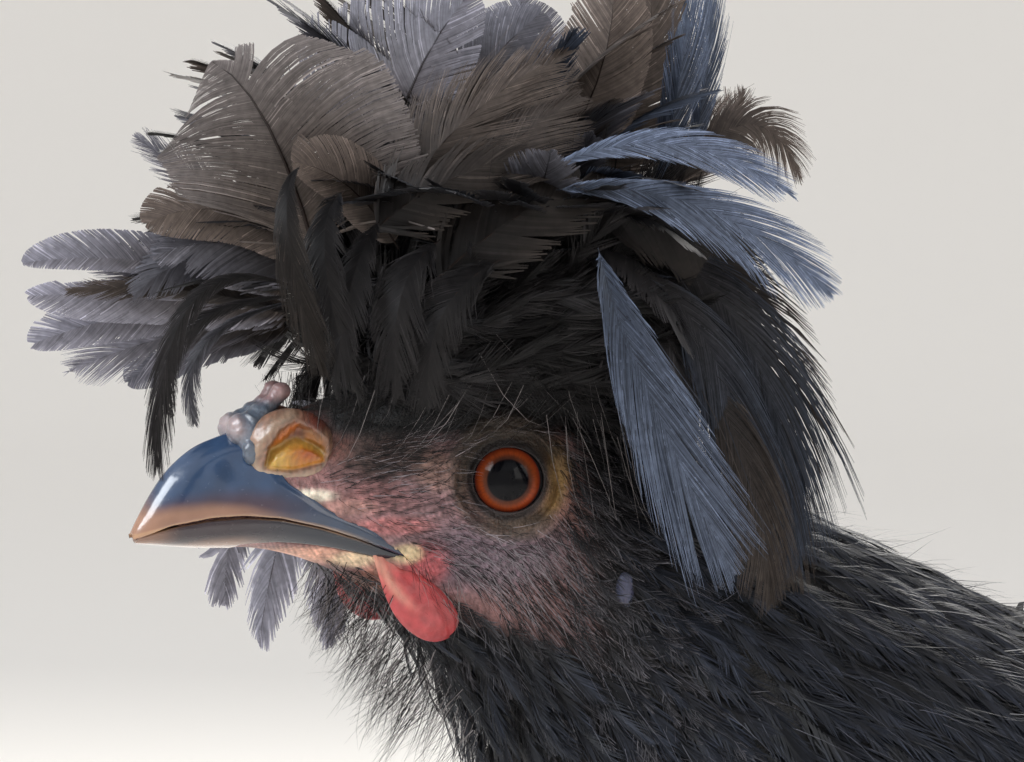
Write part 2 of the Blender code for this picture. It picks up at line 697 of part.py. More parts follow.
def tail_vane(side, share, length, width, lift):
    """A tail feather on one side of the tent; share runs from the ridge at 0 to the outermost at 1."""
    along = direction(180 - side * (2.5 + 17 * share), 54 - 40 * share)
    lean = math.radians(60 - 46 * share)
    outward = Vector((side * math.cos(lean), 0, math.sin(lean)))
    face = (outward - along * outward.dot(along)).normalized()
    across = along.cross(face)
    root = at(*TAIL_ROOT) + Vector((side * 4.5, 0, 7 - 14 * share)) * MM + face * lift
    rows = []
    for t in (0.0, 0.35, 0.75, 1.0):
        half = across * width / 2 * vane_share(t, 0.2)
        middle = root + along * (length * t - 6 * MM) + face * 4 * MM * t * t
        tilt = face * side * TAIL_SHINGLE
        rows.append((middle - half - tilt, middle + half + tilt, face))
    return vane(rows)


def make_tail(torso):
    """The tail's root with seven pairs of tail feathers and two tiers of coverts over them."""
    turn = Matrix.Rotation(math.radians(38), 4, "X")
    tail = ellipsoid("tail", at(TAIL_ROOT[0] - 4, TAIL_ROOT[1] + 3), (15 * MM, 24 * MM, 15 * MM), turn,
                     segments=10, rings=6)
    feathers = []
    for side in (1, -1):
        for count, length, width, lift in TAIL_TIERS:
            for i in range(count):
                share = i / (count - 1)
                full = TAIL_LENGTH * length * (1 - 0.16 * share)
                feathers.append(tail_vane(side, share, full, width * MM, lift * MM))
    combine(tail, feathers, "UNION")
    combine(tail, [grown(torso)], "DIFFERENCE")
    return tail


def make_thigh(torso):
    """The feathered drumstick, from inside the belly down to just above the hock."""
    rings = []
    top, hock = at(*THIGH_TOP, HIP_X), at(*HOCK, HOCK_X)
    for share, side, depth in ((0.0, 25, 41), (0.3, 24, 38), (0.55, 20, 30), (0.75, 15, 21.5),
                               (0.9, 10.5, 14), (1.0, 7.5, 9)):
        middle = top.lerp(hock, share) + Vector((0, -4 * MM * math.sin(math.pi * share), 0))
        ring = []
        for i in range(16):
            angle = 2 * math.pi * i / 16
            ring.append(middle + Vector((side * MM * math.sin(angle), depth * MM * math.cos(angle),
                                         -0.28 * depth * MM * math.cos(angle))))
        rings.append(ring)
    thigh = loft("thigh_left", rings)
    combine(thigh, [grown(torso)], "DIFFERENCE")
    return thigh


def make_leg(thigh):
    """The scaly shank with raised plates down its front, the foot with its toes, and the claws."""
    hock, ankle = at(*HOCK, HOCK_X), at(*FOOT, FOOT_X)
    knee = hock + (at(*THIGH_TOP, HIP_X) - hock).normalized() * 8 * MM
    points, radii = [knee, hock + (knee - hock) * 0.3], [5.2 * MM, 6.0 * MM]
    steps = SCUTES * 2
    for i in range(steps + 1):
        share = i / steps
        waist = 1.28 - 0.42 * math.sin(math.pi * min(1, share * 1.12)) ** 0.5
        ripple = 0.16 * MM if i % 2 else -0.16 * MM
        points.append(hock.lerp(ankle, 0.04 + 0.92 * share))
        radii.append(SHANK_RADIUS * waist + ripple)
    points.append(ankle)
    radii.append(SHANK_RADIUS * 1.2)
    shank = limb("shank_left", points, radii, roundness=1)
    combine(shank, [grown(thigh)], "DIFFERENCE")

    toes, claws = [], {}
    start = at(FOOT[0] + 1, FOOT[1], FOOT_X)
    start.z = SOLE_LIFT + 2.4 * MM
    for name, (yaw, length) in TOES.items():
        heading = Vector((math.sin(math.radians(yaw)), -math.cos(math.radians(yaw)), 0))
        pads = 2 if length > 40 * MM else 1
        places, sizes = [start - heading * 2 * MM], [TOE_RADIUS * 1.15]
        for i in range(1, pads * 2 + 2):
            share = i / (pads * 2 + 1)
            swell = 1.06 if i % 2 else 0.9
            size = TOE_RADIUS * (1.06 - 0.38 * share) * swell
            place = start + heading * length * share
            place.z = max(size * 0.86, start.z * (1 - share * 3))
            places.append(place)
            sizes.append(size)
        end = places[-1] + heading * 3 * MM
        places.append(end)
        sizes.append(sizes[-1] * 0.72)
        toes.append(limb("toe", places, sizes, roundness=1))
        root = end - heading * 0.5 * MM
        path = [root, root + heading * CLAW_LENGTH * 0.4 + Vector((0, 0, 0.5 * MM)),
                root + heading * CLAW_LENGTH * 0.75 - Vector((0, 0, 0.4 * MM)),
                root + heading * CLAW_LENGTH - Vector((0, 0, 1.6 * MM))]
        claws[name] = limb("claw_left_" + name, path, [CLAW_RADIUS * s for s in (1, 0.85, 0.5, 0.12)], 1)
    foot = limb("foot_left", [start - Vector((0, 0, 1 * MM)), start + Vector((0, 0, 7 * MM))],
                [6.0 * MM, 5.4 * MM])
    combine(foot, toes, "UNION")
    flat = halved(foot, "foot_left_flat", Vector((0, 0, 0)), Vector((0, 0, -1)))
    bpy.data.objects.remove(foot)
    flat.name = "foot_left"
    combine(flat, [grown(shank)], "DIFFERENCE")
    for claw in claws.values():
        combine(claw, [grown(flat)], "DIFFERENCE")
    return shank, flat, list(claws.values())


def file_under(collection, obj, name, look):
    """Gives a finished solid its material, smooth shading and place in the bird's collection."""
    for owner in obj.users_collection:
        owner.objects.unlink(obj)
    collection.objects.link(obj)
    obj.data.materials.clear()
    obj.data.materials.append(finish_of(name, look))
    obj.data.shade_smooth()
    obj.data.set_sharp_from_angle(angle=math.radians(40))


def main():
    clear_scene()
    bird = new_collection("crested_hen")
    head, neck, torso = part_the_body()
    dress_the_head(head)
    beak_upper, beak_lower = part_the_beak(head)
    eye = make_eye()
    comb = make_comb(head)
    wattle = make_wattle(head, beak_lower)
    earlobe = make_earlobe(head, neck)
    thigh = make_thigh(torso)
    shank, foot, claws = make_leg(thigh)
    wing = make_wing(torso, neck)
    tail = make_tail(torso)
    right_eye = mirrored(eye, "eye_right")
    right_earlobe = mirrored(earlobe, "earlobe_right")
    crest = make_crest([head, neck, torso, eye, right_eye, earlobe, right_earlobe,
                        beak_upper, wing])
    for obj, name, look in (
            (head, "skin", SKIN), (beak_upper, "horn", HORN), (beak_lower, "horn", HORN),
            (comb, "comb", WATTLE), (crest, "plumage", PLUMAGE), (neck, "plumage", PLUMAGE),
            (torso, "plumage", PLUMAGE), (tail, "plumage", PLUMAGE)):
        file_under(bird, obj, name, look)
    for left, name, look in (
            (eye, "iris", IRIS), (wattle, "wattle", WATTLE), (earlobe, "earlobe", EARLOBE),
            (wing, "plumage", PLUMAGE), (thigh, "plumage", PLUMAGE), (shank, "shank", SHANK),
            (foot, "shank", SHANK), *((claw, "claw", CLAW) for claw in claws)):
        file_under(bird, left, name, look)
        right_name = left.name.replace("_left", "_right")
        right = bpy.data.objects.get(right_name) or mirrored(left, right_name)
        file_under(bird, right, name, look)


main()
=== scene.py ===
# %% [markdown]
# # A crested hen of the Polish breed, life size
# The hen is built twice over. Plain solids give its size and outline, and this notebook dresses them:
# one skin over the whole body, a horn beak, wet eyes, and feathers made barb by barb. Every length below
# is in millimetres from the eye, forward to the beak, up, and to the bird's left, because that is how one
# would measure a real head. The first cell loads the solids and measures the eye from its box.

# %% Load the solids
import json
import math

import bmesh
import bpy
import numpy as np
from mathutils import Matrix, Vector
from mathutils.bvhtree import BVHTree
from mathutils.kdtree import KDTree

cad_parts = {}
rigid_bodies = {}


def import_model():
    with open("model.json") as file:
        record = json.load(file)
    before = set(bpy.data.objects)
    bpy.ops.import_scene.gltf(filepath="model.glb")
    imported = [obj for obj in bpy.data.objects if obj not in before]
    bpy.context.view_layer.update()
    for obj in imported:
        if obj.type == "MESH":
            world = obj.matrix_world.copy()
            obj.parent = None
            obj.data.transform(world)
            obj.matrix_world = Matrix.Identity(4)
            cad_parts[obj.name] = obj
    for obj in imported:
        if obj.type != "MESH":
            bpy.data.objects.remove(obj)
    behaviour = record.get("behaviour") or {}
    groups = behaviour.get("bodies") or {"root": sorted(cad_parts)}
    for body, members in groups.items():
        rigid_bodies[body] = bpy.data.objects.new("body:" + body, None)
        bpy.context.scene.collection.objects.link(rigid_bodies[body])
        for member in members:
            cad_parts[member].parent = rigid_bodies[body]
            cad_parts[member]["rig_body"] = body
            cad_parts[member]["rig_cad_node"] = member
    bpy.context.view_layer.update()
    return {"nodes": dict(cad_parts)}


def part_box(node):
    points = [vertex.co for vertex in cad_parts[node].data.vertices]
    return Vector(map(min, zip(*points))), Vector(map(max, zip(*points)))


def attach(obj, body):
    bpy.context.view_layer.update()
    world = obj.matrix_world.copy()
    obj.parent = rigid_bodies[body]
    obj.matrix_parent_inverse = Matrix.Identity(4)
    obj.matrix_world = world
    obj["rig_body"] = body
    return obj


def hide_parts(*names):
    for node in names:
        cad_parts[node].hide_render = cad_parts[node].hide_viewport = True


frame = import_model()
bpy.ops.object.select_all(action="DESELECT")

MM = 0.001
eye_low, eye_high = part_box("eye_left")
EYE_BALL = (eye_low + eye_high) / 2
EYE_RADIUS = (eye_high.z - eye_low.z) / 2 / MM
EYE_BACK, EYE_DROP = 2.1, 0.4
ORIGIN_Y = EYE_BALL.y - EYE_BACK * MM
ORIGIN_Z = EYE_BALL.z + EYE_DROP * MM


def at(forward, up, left=0.0):
    """Points in metres from millimetres forward of the eye, above it and to the bird's left."""
    forward, up, left = np.broadcast_arrays(
        np.asarray(forward, float), np.asarray(up, float), np.asarray(left, float))
    return np.stack([left * MM, ORIGIN_Y - forward * MM, ORIGIN_Z + up * MM], axis=-1)


def measured(points):
    """The same three measures, forward, up and left, of points in metres."""
    return (ORIGIN_Y - points[..., 1]) / MM, (points[..., 2] - ORIGIN_Z) / MM, points[..., 0] / MM


def smooth(value, low, high):
    """0 at the low value, 1 at the high one, and a soft step between them."""
    share = np.clip((np.asarray(value, float) - low) / (high - low), 0.0, 1.0)
    return share * share * (3 - 2 * share)


def blend(first, second, share):
    """A colour or a point between two others."""
    share = np.asarray(share, float)[..., None]
    return np.asarray(first, float) * (1 - share) + np.asarray(second, float) * share


def unit(vectors):
    """Vectors of length one."""
    return vectors / np.maximum(np.linalg.norm(vectors, axis=-1, keepdims=True), 1e-12)


# %% [markdown]
# ## Camera
# The picture is a close-up: a long lens looks at the left side of the face from slightly in front of it
# and a little above. The eye is the anchor, so the camera is placed from it. Three unit vectors give the
# camera's own right, up and back, and they become the columns of its turn.

# %% Camera
CAMERA_TURN, CAMERA_RISE = math.radians(67), math.radians(4)
CAMERA_DISTANCE = 0.445
CAMERA_LENS, CAMERA_SENSOR = 125.2, 36.0
CAMERA_AIM_LEFT = 14.5
CAMERA_OFF_AXIS = (0.6, 12.4)
PICTURE_WIDTH, PICTURE_HEIGHT = 1024, 762

camera_back = np.array([math.sin(CAMERA_TURN) * math.cos(CAMERA_RISE),
                        -math.cos(CAMERA_TURN) * math.cos(CAMERA_RISE), math.sin(CAMERA_RISE)])
camera_right = np.array([math.cos(CAMERA_TURN), math.sin(CAMERA_TURN), 0.0])
camera_up = np.cross(camera_back, camera_right)
camera_place = (at(0, 0, CAMERA_AIM_LEFT) + camera_back * CAMERA_DISTANCE
                + camera_right * CAMERA_OFF_AXIS[0] * MM + camera_up * CAMERA_OFF_AXIS[1] * MM)
bpy.ops.object.camera_add(location=camera_place)
camera = bpy.context.object
camera.rotation_euler = Matrix(np.array([camera_right, camera_up, camera_back]).T.tolist()).to_euler()
camera.data.lens, camera.data.sensor_width = CAMERA_LENS, CAMERA_SENSOR
camera.data.clip_start = 0.01
bpy.context.scene.camera = camera


def sighted(across, down, left):
    """The point at that distance to the bird's left which the camera sees at a place of the picture."""
    reach = CAMERA_SENSOR / CAMERA_LENS / PICTURE_WIDTH
    ray = (camera_right * (across - PICTURE_WIDTH / 2) * reach
           - camera_up * (down - PICTURE_HEIGHT / 2) * reach - camera_back)
    return camera_place + ray * (left * MM - camera_place[0]) / ray[0]


# %% [markdown]
# ## Room and light
# The hen stands in a wide, pale bowl, which shows no horizon from any side. A big cool softbox stands
# before and above the bird, as a window would: it draws the long highlight on the beak and the small ones
# in the eye. A second light behind the crest shines through the thin feathers, and a third fills the face.

# %% Pale floor
FLOOR_RADIUS, RIM_STEPS, RIM_RISE = 3.2, 12, 3.4
bpy.ops.mesh.primitive_circle_add(vertices=96, radius=FLOOR_RADIUS, fill_type="NGON")
floor = bpy.context.object
floor.name = "floor"
bpy.ops.object.mode_set(mode="EDIT")
bpy.ops.mesh.inset(thickness=0.4)
bpy.ops.mesh.select_all(action="DESELECT")
bpy.ops.object.mode_set(mode="OBJECT")
for edge in floor.data.edges:
    edge.select = all((Vector(floor.data.vertices[i].co).length > FLOOR_RADIUS * 0.999) for i in edge.vertices)
bpy.ops.object.mode_set(mode="EDIT")
for step in range(RIM_STEPS):
    slope = math.pi / 2 * (step + 1) / RIM_STEPS
    bpy.ops.mesh.extrude_region_move(
        TRANSFORM_OT_translate={"value": (0, 0, RIM_RISE * math.sin(slope) / RIM_STEPS * 1.5)})
    bpy.ops.transform.resize(value=(1 + 0.055 * math.cos(slope), 1 + 0.055 * math.cos(slope), 1),
                             center_override=(0, 0, 0))
bpy.ops.object.mode_set(mode="OBJECT")
bpy.ops.object.shade_smooth()

# %% Softboxes and sky
SKY = (0.93, 0.95, 1.0)
SKY_STRENGTH = 0.85


def softbox(name, place, aim, size, power, colour):
    """A square area light at a place, turned to its aim."""
    bpy.ops.object.light_add(type="AREA", location=place)
    lamp = bpy.context.object
    lamp.name = name
    lamp.rotation_euler = Vector(np.asarray(place) - np.asarray(aim)).to_track_quat("Z", "Y").to_euler()
    lamp.data.size, lamp.data.energy, lamp.data.color = size, power, colour


head_middle = at(0, 8, 0)
softbox("window", head_middle - camera_right * 0.75 + camera_up * 0.62 + camera_back * 0.42,
        head_middle, 0.5, 11.0, (0.90, 0.95, 1.0))
softbox("back_light", head_middle - camera_back * 0.9 + camera_up * 0.75 + camera_right * 0.2,
        head_middle, 0.7, 16.0, (1.0, 0.97, 0.92))
softbox("fill", head_middle + camera_right * 0.9 + camera_up * 0.45 + camera_back * 0.85,
        head_middle, 0.8, 4.0, (1.0, 0.97, 0.94))
world = bpy.data.worlds.new("sky")
world.use_nodes = True
world.node_tree.nodes["Background"].inputs["Color"].default_value = (*SKY, 1.0)
world.node_tree.nodes["Background"].inputs["Strength"].default_value = SKY_STRENGTH
bpy.context.scene.world = world
bpy.context.scene.view_settings.view_transform = "Standard"

# %% [markdown]
# ## Finishes
# A finish is a tree of shader nodes. Sums on sockets are easier to read as sums, so a small class wraps a
# socket and lets it be added and multiplied; each sign adds a Math node. The colours themselves are painted
# on the points of each mesh, in a layer called tint, because a bird's colours follow its anatomy. The nodes
# then add what is finer than the points: mottling, pores, sheen and gloss.

# %% Sums on sockets
class Wire:
    """A socket that takes part in sums as a number does."""

    def __init__(self, look, socket):
        self.look, self.socket = look, socket

    def maths(self, operation, first, second):
        return self.look.node("ShaderNodeMath", {"operation": operation}, {0: first, 1: second})

    def __add__(self, other):
        return self.maths("ADD", self, other)

    def __mul__(self, other):
        return self.maths("MULTIPLY", self, other)

    def __sub__(self, other):
        return self.maths("SUBTRACT", self, other)

    def __rsub__(self, other):
        return self.maths("SUBTRACT", other, self)

    __radd__, __rmul__ = __add__, __mul__


# %% Looks
class Look:
    """A finish under a plain name, built round its Principled shader."""

    def __init__(self, name, **plain):
        self.material = bpy.data.materials.new(name)
        self.material.use_nodes = True
        self.tree = self.material.node_tree
        self.shader = self.tree.nodes["Principled BSDF"]
        for socket, value in plain.items():
            self.shader.inputs[socket.replace("_", " ")].default_value = value
        self.place = self.node("ShaderNodeTexCoord", output="Object")

    def node(self, kind, settings=None, inputs=None, output=0):
        made = self.tree.nodes.new(kind)
        for key, value in (settings or {}).items():
            setattr(made, key, value)
        for key, value in (inputs or {}).items():
            if isinstance(value, Wire):
                self.tree.links.new(value.socket, made.inputs[key])
            else:
                made.inputs[key].default_value = value
        return Wire(self, made.outputs[output])

    def feed(self, socket, wire):
        self.tree.links.new(wire.socket, self.shader.inputs[socket])

    def noise(self, scale, detail=3.0, roughness=0.55):
        return self.node("ShaderNodeTexNoise", {}, {
            "Vector": self.place, "Scale": scale, "Detail": detail, "Roughness": roughness})

    def tint(self):
        return self.node("ShaderNodeAttribute", {"attribute_name": "tint"}, output="Color")

    def shaded(self, colour, factor):
        """The colour made darker or lighter by a factor that varies over the surface."""
        grey = self.node("ShaderNodeCombineColor", {}, {0: factor, 1: factor, 2: factor})
        return self.node("ShaderNodeMix", {"data_type": "RGBA", "blend_type": "MULTIPLY"},
                         {"Factor": 1.0, 6: colour, 7: grey}, output=2)

    def bump(self, height, distance, strength=1.0):
        return self.node("ShaderNodeBump", {}, {
            "Height": height, "Distance": distance, "Strength": strength}, output="Normal")


# %% [markdown]
# Feathers are near black with a soft blue sheen, and the thin ones let light through, so their shader is a
# mix of a Principled and a Translucent one. Skin is moist and lets some light in, so it has a little
# subsurface. Horn is hard and glossy with a coat over it.

# %% Feather and skin finishes
def feather_look(name, through, sheen):
    """Barbs with the painted tint, fine streaks, and a share of light that passes through."""
    look = Look(name, Roughness=0.5, Specular_IOR_Level=0.2, Sheen_Weight=sheen, Sheen_Roughness=0.35)
    look.shader.inputs["Sheen Tint"].default_value = (0.55, 0.65, 0.85, 1.0)
    streak = look.noise(900.0, 2.0)
    colour = look.shaded(look.tint(), 0.55 + streak * 0.9)
    look.feed("Base Color", colour)
    look.feed("Roughness", 0.34 + streak * 0.3)
    thin = look.tree.nodes.new("ShaderNodeBsdfTranslucent")
    look.tree.links.new(colour.socket, thin.inputs["Color"])
    mix = look.tree.nodes.new("ShaderNodeMixShader")
    mix.inputs[0].default_value = through
    look.tree.links.new(look.shader.outputs[0], mix.inputs[1])
    look.tree.links.new(thin.outputs[0], mix.inputs[2])
    look.tree.links.new(mix.outputs[0], look.tree.nodes["Material Output"].inputs["Surface"])
    return look.material


# %% Skin, horn and eye finishes
def skin_look():
    look = Look("skin", Roughness=0.5, Subsurface_Weight=0.12, Subsurface_Scale=0.0012,
                Specular_IOR_Level=0.45)
    look.shader.inputs["Subsurface Radius"].default_value = (1.0, 0.35, 0.25)
    mottle = look.noise(420.0, 4.0, 0.65)
    grain = look.noise(2300.0, 3.0, 0.6)
    look.feed("Base Color", look.shaded(look.tint(), -0.10 + mottle * 1.7 + grain * 0.5))
    look.feed("Roughness", 0.38 + grain * 0.3)
    look.feed("Normal", look.bump(grain * 0.7 + mottle, 0.0006, 0.9))
    return look.material


def horn_look():
    look = Look("horn", Roughness=0.18, Coat_Weight=0.6, Coat_Roughness=0.06, Specular_IOR_Level=0.4)
    cloud = look.noise(260.0, 3.0, 0.55)
    speck = look.noise(1700.0, 2.0, 0.5)
    look.feed("Base Color", look.shaded(look.tint(), 0.7 + cloud * 0.6))
    look.feed("Roughness", 0.12 + speck * 0.22)
    look.feed("Normal", look.bump(cloud * 0.5 + speck * 0.2, 0.00022, 0.5))
    return look.material


def eye_look():
    look = Look("eye", Roughness=0.6, Coat_Weight=0.45, Coat_Roughness=0.02, Coat_IOR=1.33,
                Specular_IOR_Level=0.0)
    fibre = look.noise(1500.0, 4.0, 0.6)
    look.feed("Base Color", look.shaded(look.tint(), 0.7 + fibre * 0.6))
    return look.material


# %% Finishes of fleshy parts and scales
def fleshy_look(name, gloss):
    look = Look(name, Roughness=0.4, Subsurface_Weight=0.2, Subsurface_Scale=0.0015, Coat_Weight=gloss,
                Coat_Roughness=0.25)
    look.shader.inputs["Subsurface Radius"].default_value = (1.0, 0.3, 0.2)
    mottle = look.noise(700.0, 4.0, 0.6)
    pores = look.noise(2600.0, 2.0, 0.5)
    look.feed("Base Color", look.shaded(look.tint(), 0.72 + mottle * 0.56))
    look.feed("Roughness", 0.28 + pores * 0.3)
    look.feed("Normal", look.bump(mottle + pores * 0.5, 0.0003, 0.6))
    return look.material


def scale_look():
    look = Look("shank_scales", Roughness=0.45, Specular_IOR_Level=0.5)
    plates = look.node("ShaderNodeTexVoronoi", {"feature": "DISTANCE_TO_EDGE"}, {
        "Vector": look.place, "Scale": 420.0})
    wear = look.noise(300.0, 4.0)
    seam = look.node("ShaderNodeMath", {"operation": "MINIMUM"}, {0: plates * 4.0, 1: 1.0})
    look.feed("Base Color", look.shaded(look.tint(), 0.45 + seam * 0.35 + wear * 0.5))
    look.feed("Roughness", 0.3 + wear * 0.35)
    look.feed("Normal", look.bump(seam, 0.0004, 0.8))
    return look.material


# %% The finishes in use
CREST_LOOK = feather_look("crest_feathers", 0.30, 0.05)
COAT_LOOK = feather_look("body_feathers", 0.06, 0.10)
SKIN_LOOK, HORN_LOOK, EYE_LOOK = skin_look(), horn_look(), eye_look()
FLESH_LOOK, LEAF_LOOK = fleshy_look("fleshy_skin", 0.55), fleshy_look("leaf_skin", 0.07)
SCALE_LOOK = scale_look()
floor_look = Look("pale_floor", Roughness=0.9)
floor_look.shader.inputs["Base Color"].default_value = (0.90, 0.87, 0.82, 1.0)
floor_grain = floor_look.noise(3.0, 2.0)
floor_look.feed("Roughness", 0.85 + floor_grain * 0.1)
floor.data.materials.append(floor_look.material)

# %% [markdown]
# ## Pieces from arrays
# A coat of feathers has far too many faces to model by hand. It is worked out as arrays of points and
# handed to Blender in one go. Each coat piece also gets a map named OFBake, in which every feather is a
# tiny patch where its root lies on the unwrapped skin, so its colour can be baked.

# %% Meshes from arrays
def mesh_piece(name, points, faces, tints, material, spots=None):
    """An object from arrays of points and four-cornered faces, with a tint for each point."""
    mesh = bpy.data.meshes.new(name)
    mesh.vertices.add(len(points))
    mesh.vertices.foreach_set("co", np.ascontiguousarray(points, np.float32).ravel())
    mesh.loops.add(faces.size)
    mesh.loops.foreach_set("vertex_index", np.ascontiguousarray(faces, np.int32).ravel())
    mesh.polygons.add(len(faces))
    mesh.polygons.foreach_set("loop_start", np.arange(0, faces.size, faces.shape[1], dtype=np.int32))
    mesh.update(calc_edges=True)
    paint(mesh, tints)
    if spots is not None:
        layer = mesh.uv_layers.new(name="OFBake")
        layer.data.foreach_set("uv", np.ascontiguousarray(spots[faces.ravel()], np.float32).ravel())
    mesh.materials.append(material)
    mesh.shade_smooth()
    piece = bpy.data.objects.new(name, mesh)
    bpy.context.scene.collection.objects.link(piece)
    return piece


def paint(mesh, tints):
    """Gives each point of a mesh its tint."""
    tints = np.broadcast_to(np.asarray(tints, float), (len(mesh.vertices), 3))
    layer = mesh.attributes.get("tint") or mesh.attributes.new("tint", "FLOAT_COLOR", "POINT")
    layer.data.foreach_set("color", np.concatenate(
        [tints, np.ones((len(tints), 1))], axis=1).astype(np.float32).ravel())


def grid_faces(rows, columns, closed):
    """Faces of a grid of points, its rows closed into rings or open."""
    index = np.arange(rows * columns).reshape(rows, columns)
    if closed:
        index = np.concatenate([index, index[:, :1]], axis=1)
    return np.stack([index[:-1, :-1], index[:-1, 1:], index[1:, 1:], index[1:, :-1]], axis=-1).reshape(-1, 4)


def points_of(obj):
    """The points of an object's mesh as an array."""
    flat = np.empty(len(obj.data.vertices) * 3, np.float32)
    obj.data.vertices.foreach_get("co", flat)
    return flat.reshape(-1, 3).astype(float)


def set_points(obj, points):
    """Moves an object's points."""
    obj.data.vertices.foreach_set("co", points.astype(np.float32).ravel())
    obj.data.update()


# %% [markdown]
# ## The skin's shape
# The solids' head, neck and trunk are faceted sleeves through a row of cross-sections. The skin follows
# smooth curves through the same sections, so it lies where they do, drawn in by the depth of the coat.
# Each section says where its top and bottom are, how wide it is and how round.

# %% Cross-sections of the body
# top forward, top up, bottom forward, bottom up, half width, widest place, roundness above and below
SECTIONS = np.array((
    (44.5, -6.0, 44.5, -7.2, 0.5, 0.5, 2.0, 2.0),
    (43.7, -4.4, 43.7, -7.4, 1.3, 0.3, 1.8, 2.0),
    (41.9, -1.6, 41.9, -7.6, 2.3, 0.3, 1.8, 2.0),
    (39.4, 1.3, 39.4, -7.9, 3.3, 0.3, 1.8, 2.0),
    (36.3, 3.6, 36.3, -8.2, 4.3, 0.3, 1.8, 2.0),
    (32.7, 5.0, 32.7, -8.4, 5.1, 0.3, 1.8, 2.0),
    (29.5, 6.0, 29.5, -8.6, 5.9, 0.31, 1.8, 2.0),
    (26.0, 7.4, 26.0, -9.2, 6.8, 0.33, 1.9, 2.0),
    (21.5, 9.2, 21.5, -10.6, 8.0, 0.36, 2.0, 2.0),
    (16.5, 11.0, 16.5, -12.8, 9.6, 0.40, 2.1, 2.0),
    (11.0, 12.6, 12.0, -15.4, 11.4, 0.45, 2.2, 2.0),
    (5.0, 13.8, 8.0, -18.0, 12.8, 0.50, 2.2, 2.0),
    (-2.0, 14.4, 6.0, -20.5, 13.8, 0.52, 2.2, 2.0),
    (-9.0, 13.6, 4.5, -23.5, 14.6, 0.52, 2.1, 2.0),
    (-16.0, 11.0, 3.0, -26.5, 15.6, 0.50, 2.0, 2.0),
    (-23.0, 7.6, 1.5, -29.5, 17.0, 0.50, 2.0, 2.0),
    (-32.0, 3.4, 0.0, -33.0, 19.6, 0.50, 2.0, 2.0),
    (-43.0, -1.6, -1.0, -38.0, 23.5, 0.50, 2.0, 2.0),
    (-55.0, -6.6, -1.5, -45.0, 28.5, 0.50, 2.0, 2.0),
    (-68.0, -12.0, -1.0, -54.0, 35.0, 0.50, 2.0, 2.1),
    (-82.0, -18.0, 0.5, -67.0, 43.0, 0.48, 2.0, 2.1),
    (-97.0, -24.0, 2.0, -84.0, 51.0, 0.47, 2.0, 2.2),
    (-112.0, -29.5, 0.0, -105.0, 58.0, 0.47, 2.0, 2.2),
    (-127.0, -34.5, -10.0, -128.0, 63.5, 0.48, 2.0, 2.2),
    (-142.0, -39.0, -30.0, -150.0, 66.5, 0.50, 2.0, 2.1),
    (-157.0, -43.0, -60.0, -168.0, 68.0, 0.51, 2.0, 2.0),
    (-172.0, -46.5, -98.0, -179.0, 68.0, 0.52, 2.0, 2.0),
    (-188.0, -50.0, -138.0, -182.0, 66.0, 0.52, 2.0, 2.0),
    (-204.0, -53.0, -172.0, -176.0, 62.0, 0.52, 2.0, 2.0),
    (-220.0, -56.0, -201.0, -163.0, 55.0, 0.53, 2.0, 2.0),
    (-235.0, -59.0, -225.0, -146.0, 46.0, 0.54, 2.0, 2.0),
    (-249.0, -62.5, -243.0, -128.0, 35.0, 0.55, 2.0, 2.0),
    (-261.0, -67.0, -257.0, -111.0, 23.5, 0.55, 2.0, 2.0),
    (-270.0, -74.0, -267.0, -97.0, 11.5, 0.5, 2.0, 2.0),
))
HEAD_END, NECK_END, BODY_END = 15.5, 20.5, len(SECTIONS) - 1.0


def section_at(place):
    """The eight measures at a place counted in sections, on a smooth curve through them."""
    place = np.asarray(place, float)
    i = np.clip(np.floor(place).astype(int), 0, len(SECTIONS) - 2)
    t = (place - i)[..., None]
    a, b, c, d = (SECTIONS[np.clip(i + k, 0, len(SECTIONS) - 1)] for k in (-1, 0, 1, 2))
    return 0.5 * (2 * b + (c - a) * t + (2 * a - 5 * b + 4 * c - d) * t ** 2 + (3 * b - a - 3 * c + d) * t ** 3)


def body_surface(place, angle):
    """The body's surface at a place along it and an angle round it, 0 on top and growing to the left."""
    top_f, top_u, low_f, low_u, half, widest, roof, keel = np.moveaxis(section_at(place), -1, 0)
    side, rise = np.sin(angle), np.cos(angle)
    power = np.where(rise > 0, roof, keel)
    left = half * np.sign(side) * np.abs(side) ** (2 / power)
    reach = np.abs(rise) ** (2 / power)
    middle_f, middle_u = low_f + (top_f - low_f) * widest, low_u + (top_u - low_u) * widest
    forward = middle_f + (np.where(rise > 0, top_f, low_f) - middle_f) * reach
    up = middle_u + (np.where(rise > 0, top_u, low_u) - middle_u) * reach
    return at(forward, up, left)


# %% [markdown]
# ## The horn's edges
# The beak is a sheath of horn over the front of the head. Its two halves meet at the mouth's line, and
# each ends behind in a curved edge: high up above the nostril and far back beside the mouth. The angle at
# which each cross-section meets the mouth's line is looked up once and used for both halves and the skin.

# %% Where the mouth's line runs
MOUTH_LINE = ((48.0, -7.6), (45.0, -6.7), (40.0, -5.2), (35.5, -4.3), (31.5, -4.1),
              (27.0, -4.5), (22.0, -5.7), (17.5, -7.2), (13.5, -8.9), (8.0, -11.2))
# where each half's horn ends, in sections, from its middle line to the mouth's line
UPPER_END = ((0.0, 0.45, 0.7, 0.88, 1.0), (6.0, 6.1, 6.9, 8.4, 10.4))
LOWER_END = ((0.0, 0.35, 0.62, 0.85, 1.0), (5.2, 5.6, 7.6, 9.5, 10.2))


def mouth_up(forward):
    """The height of the mouth's line at a place forward of the eye."""
    line = np.array(MOUTH_LINE)[::-1]
    return np.interp(forward, line[:, 0], line[:, 1])


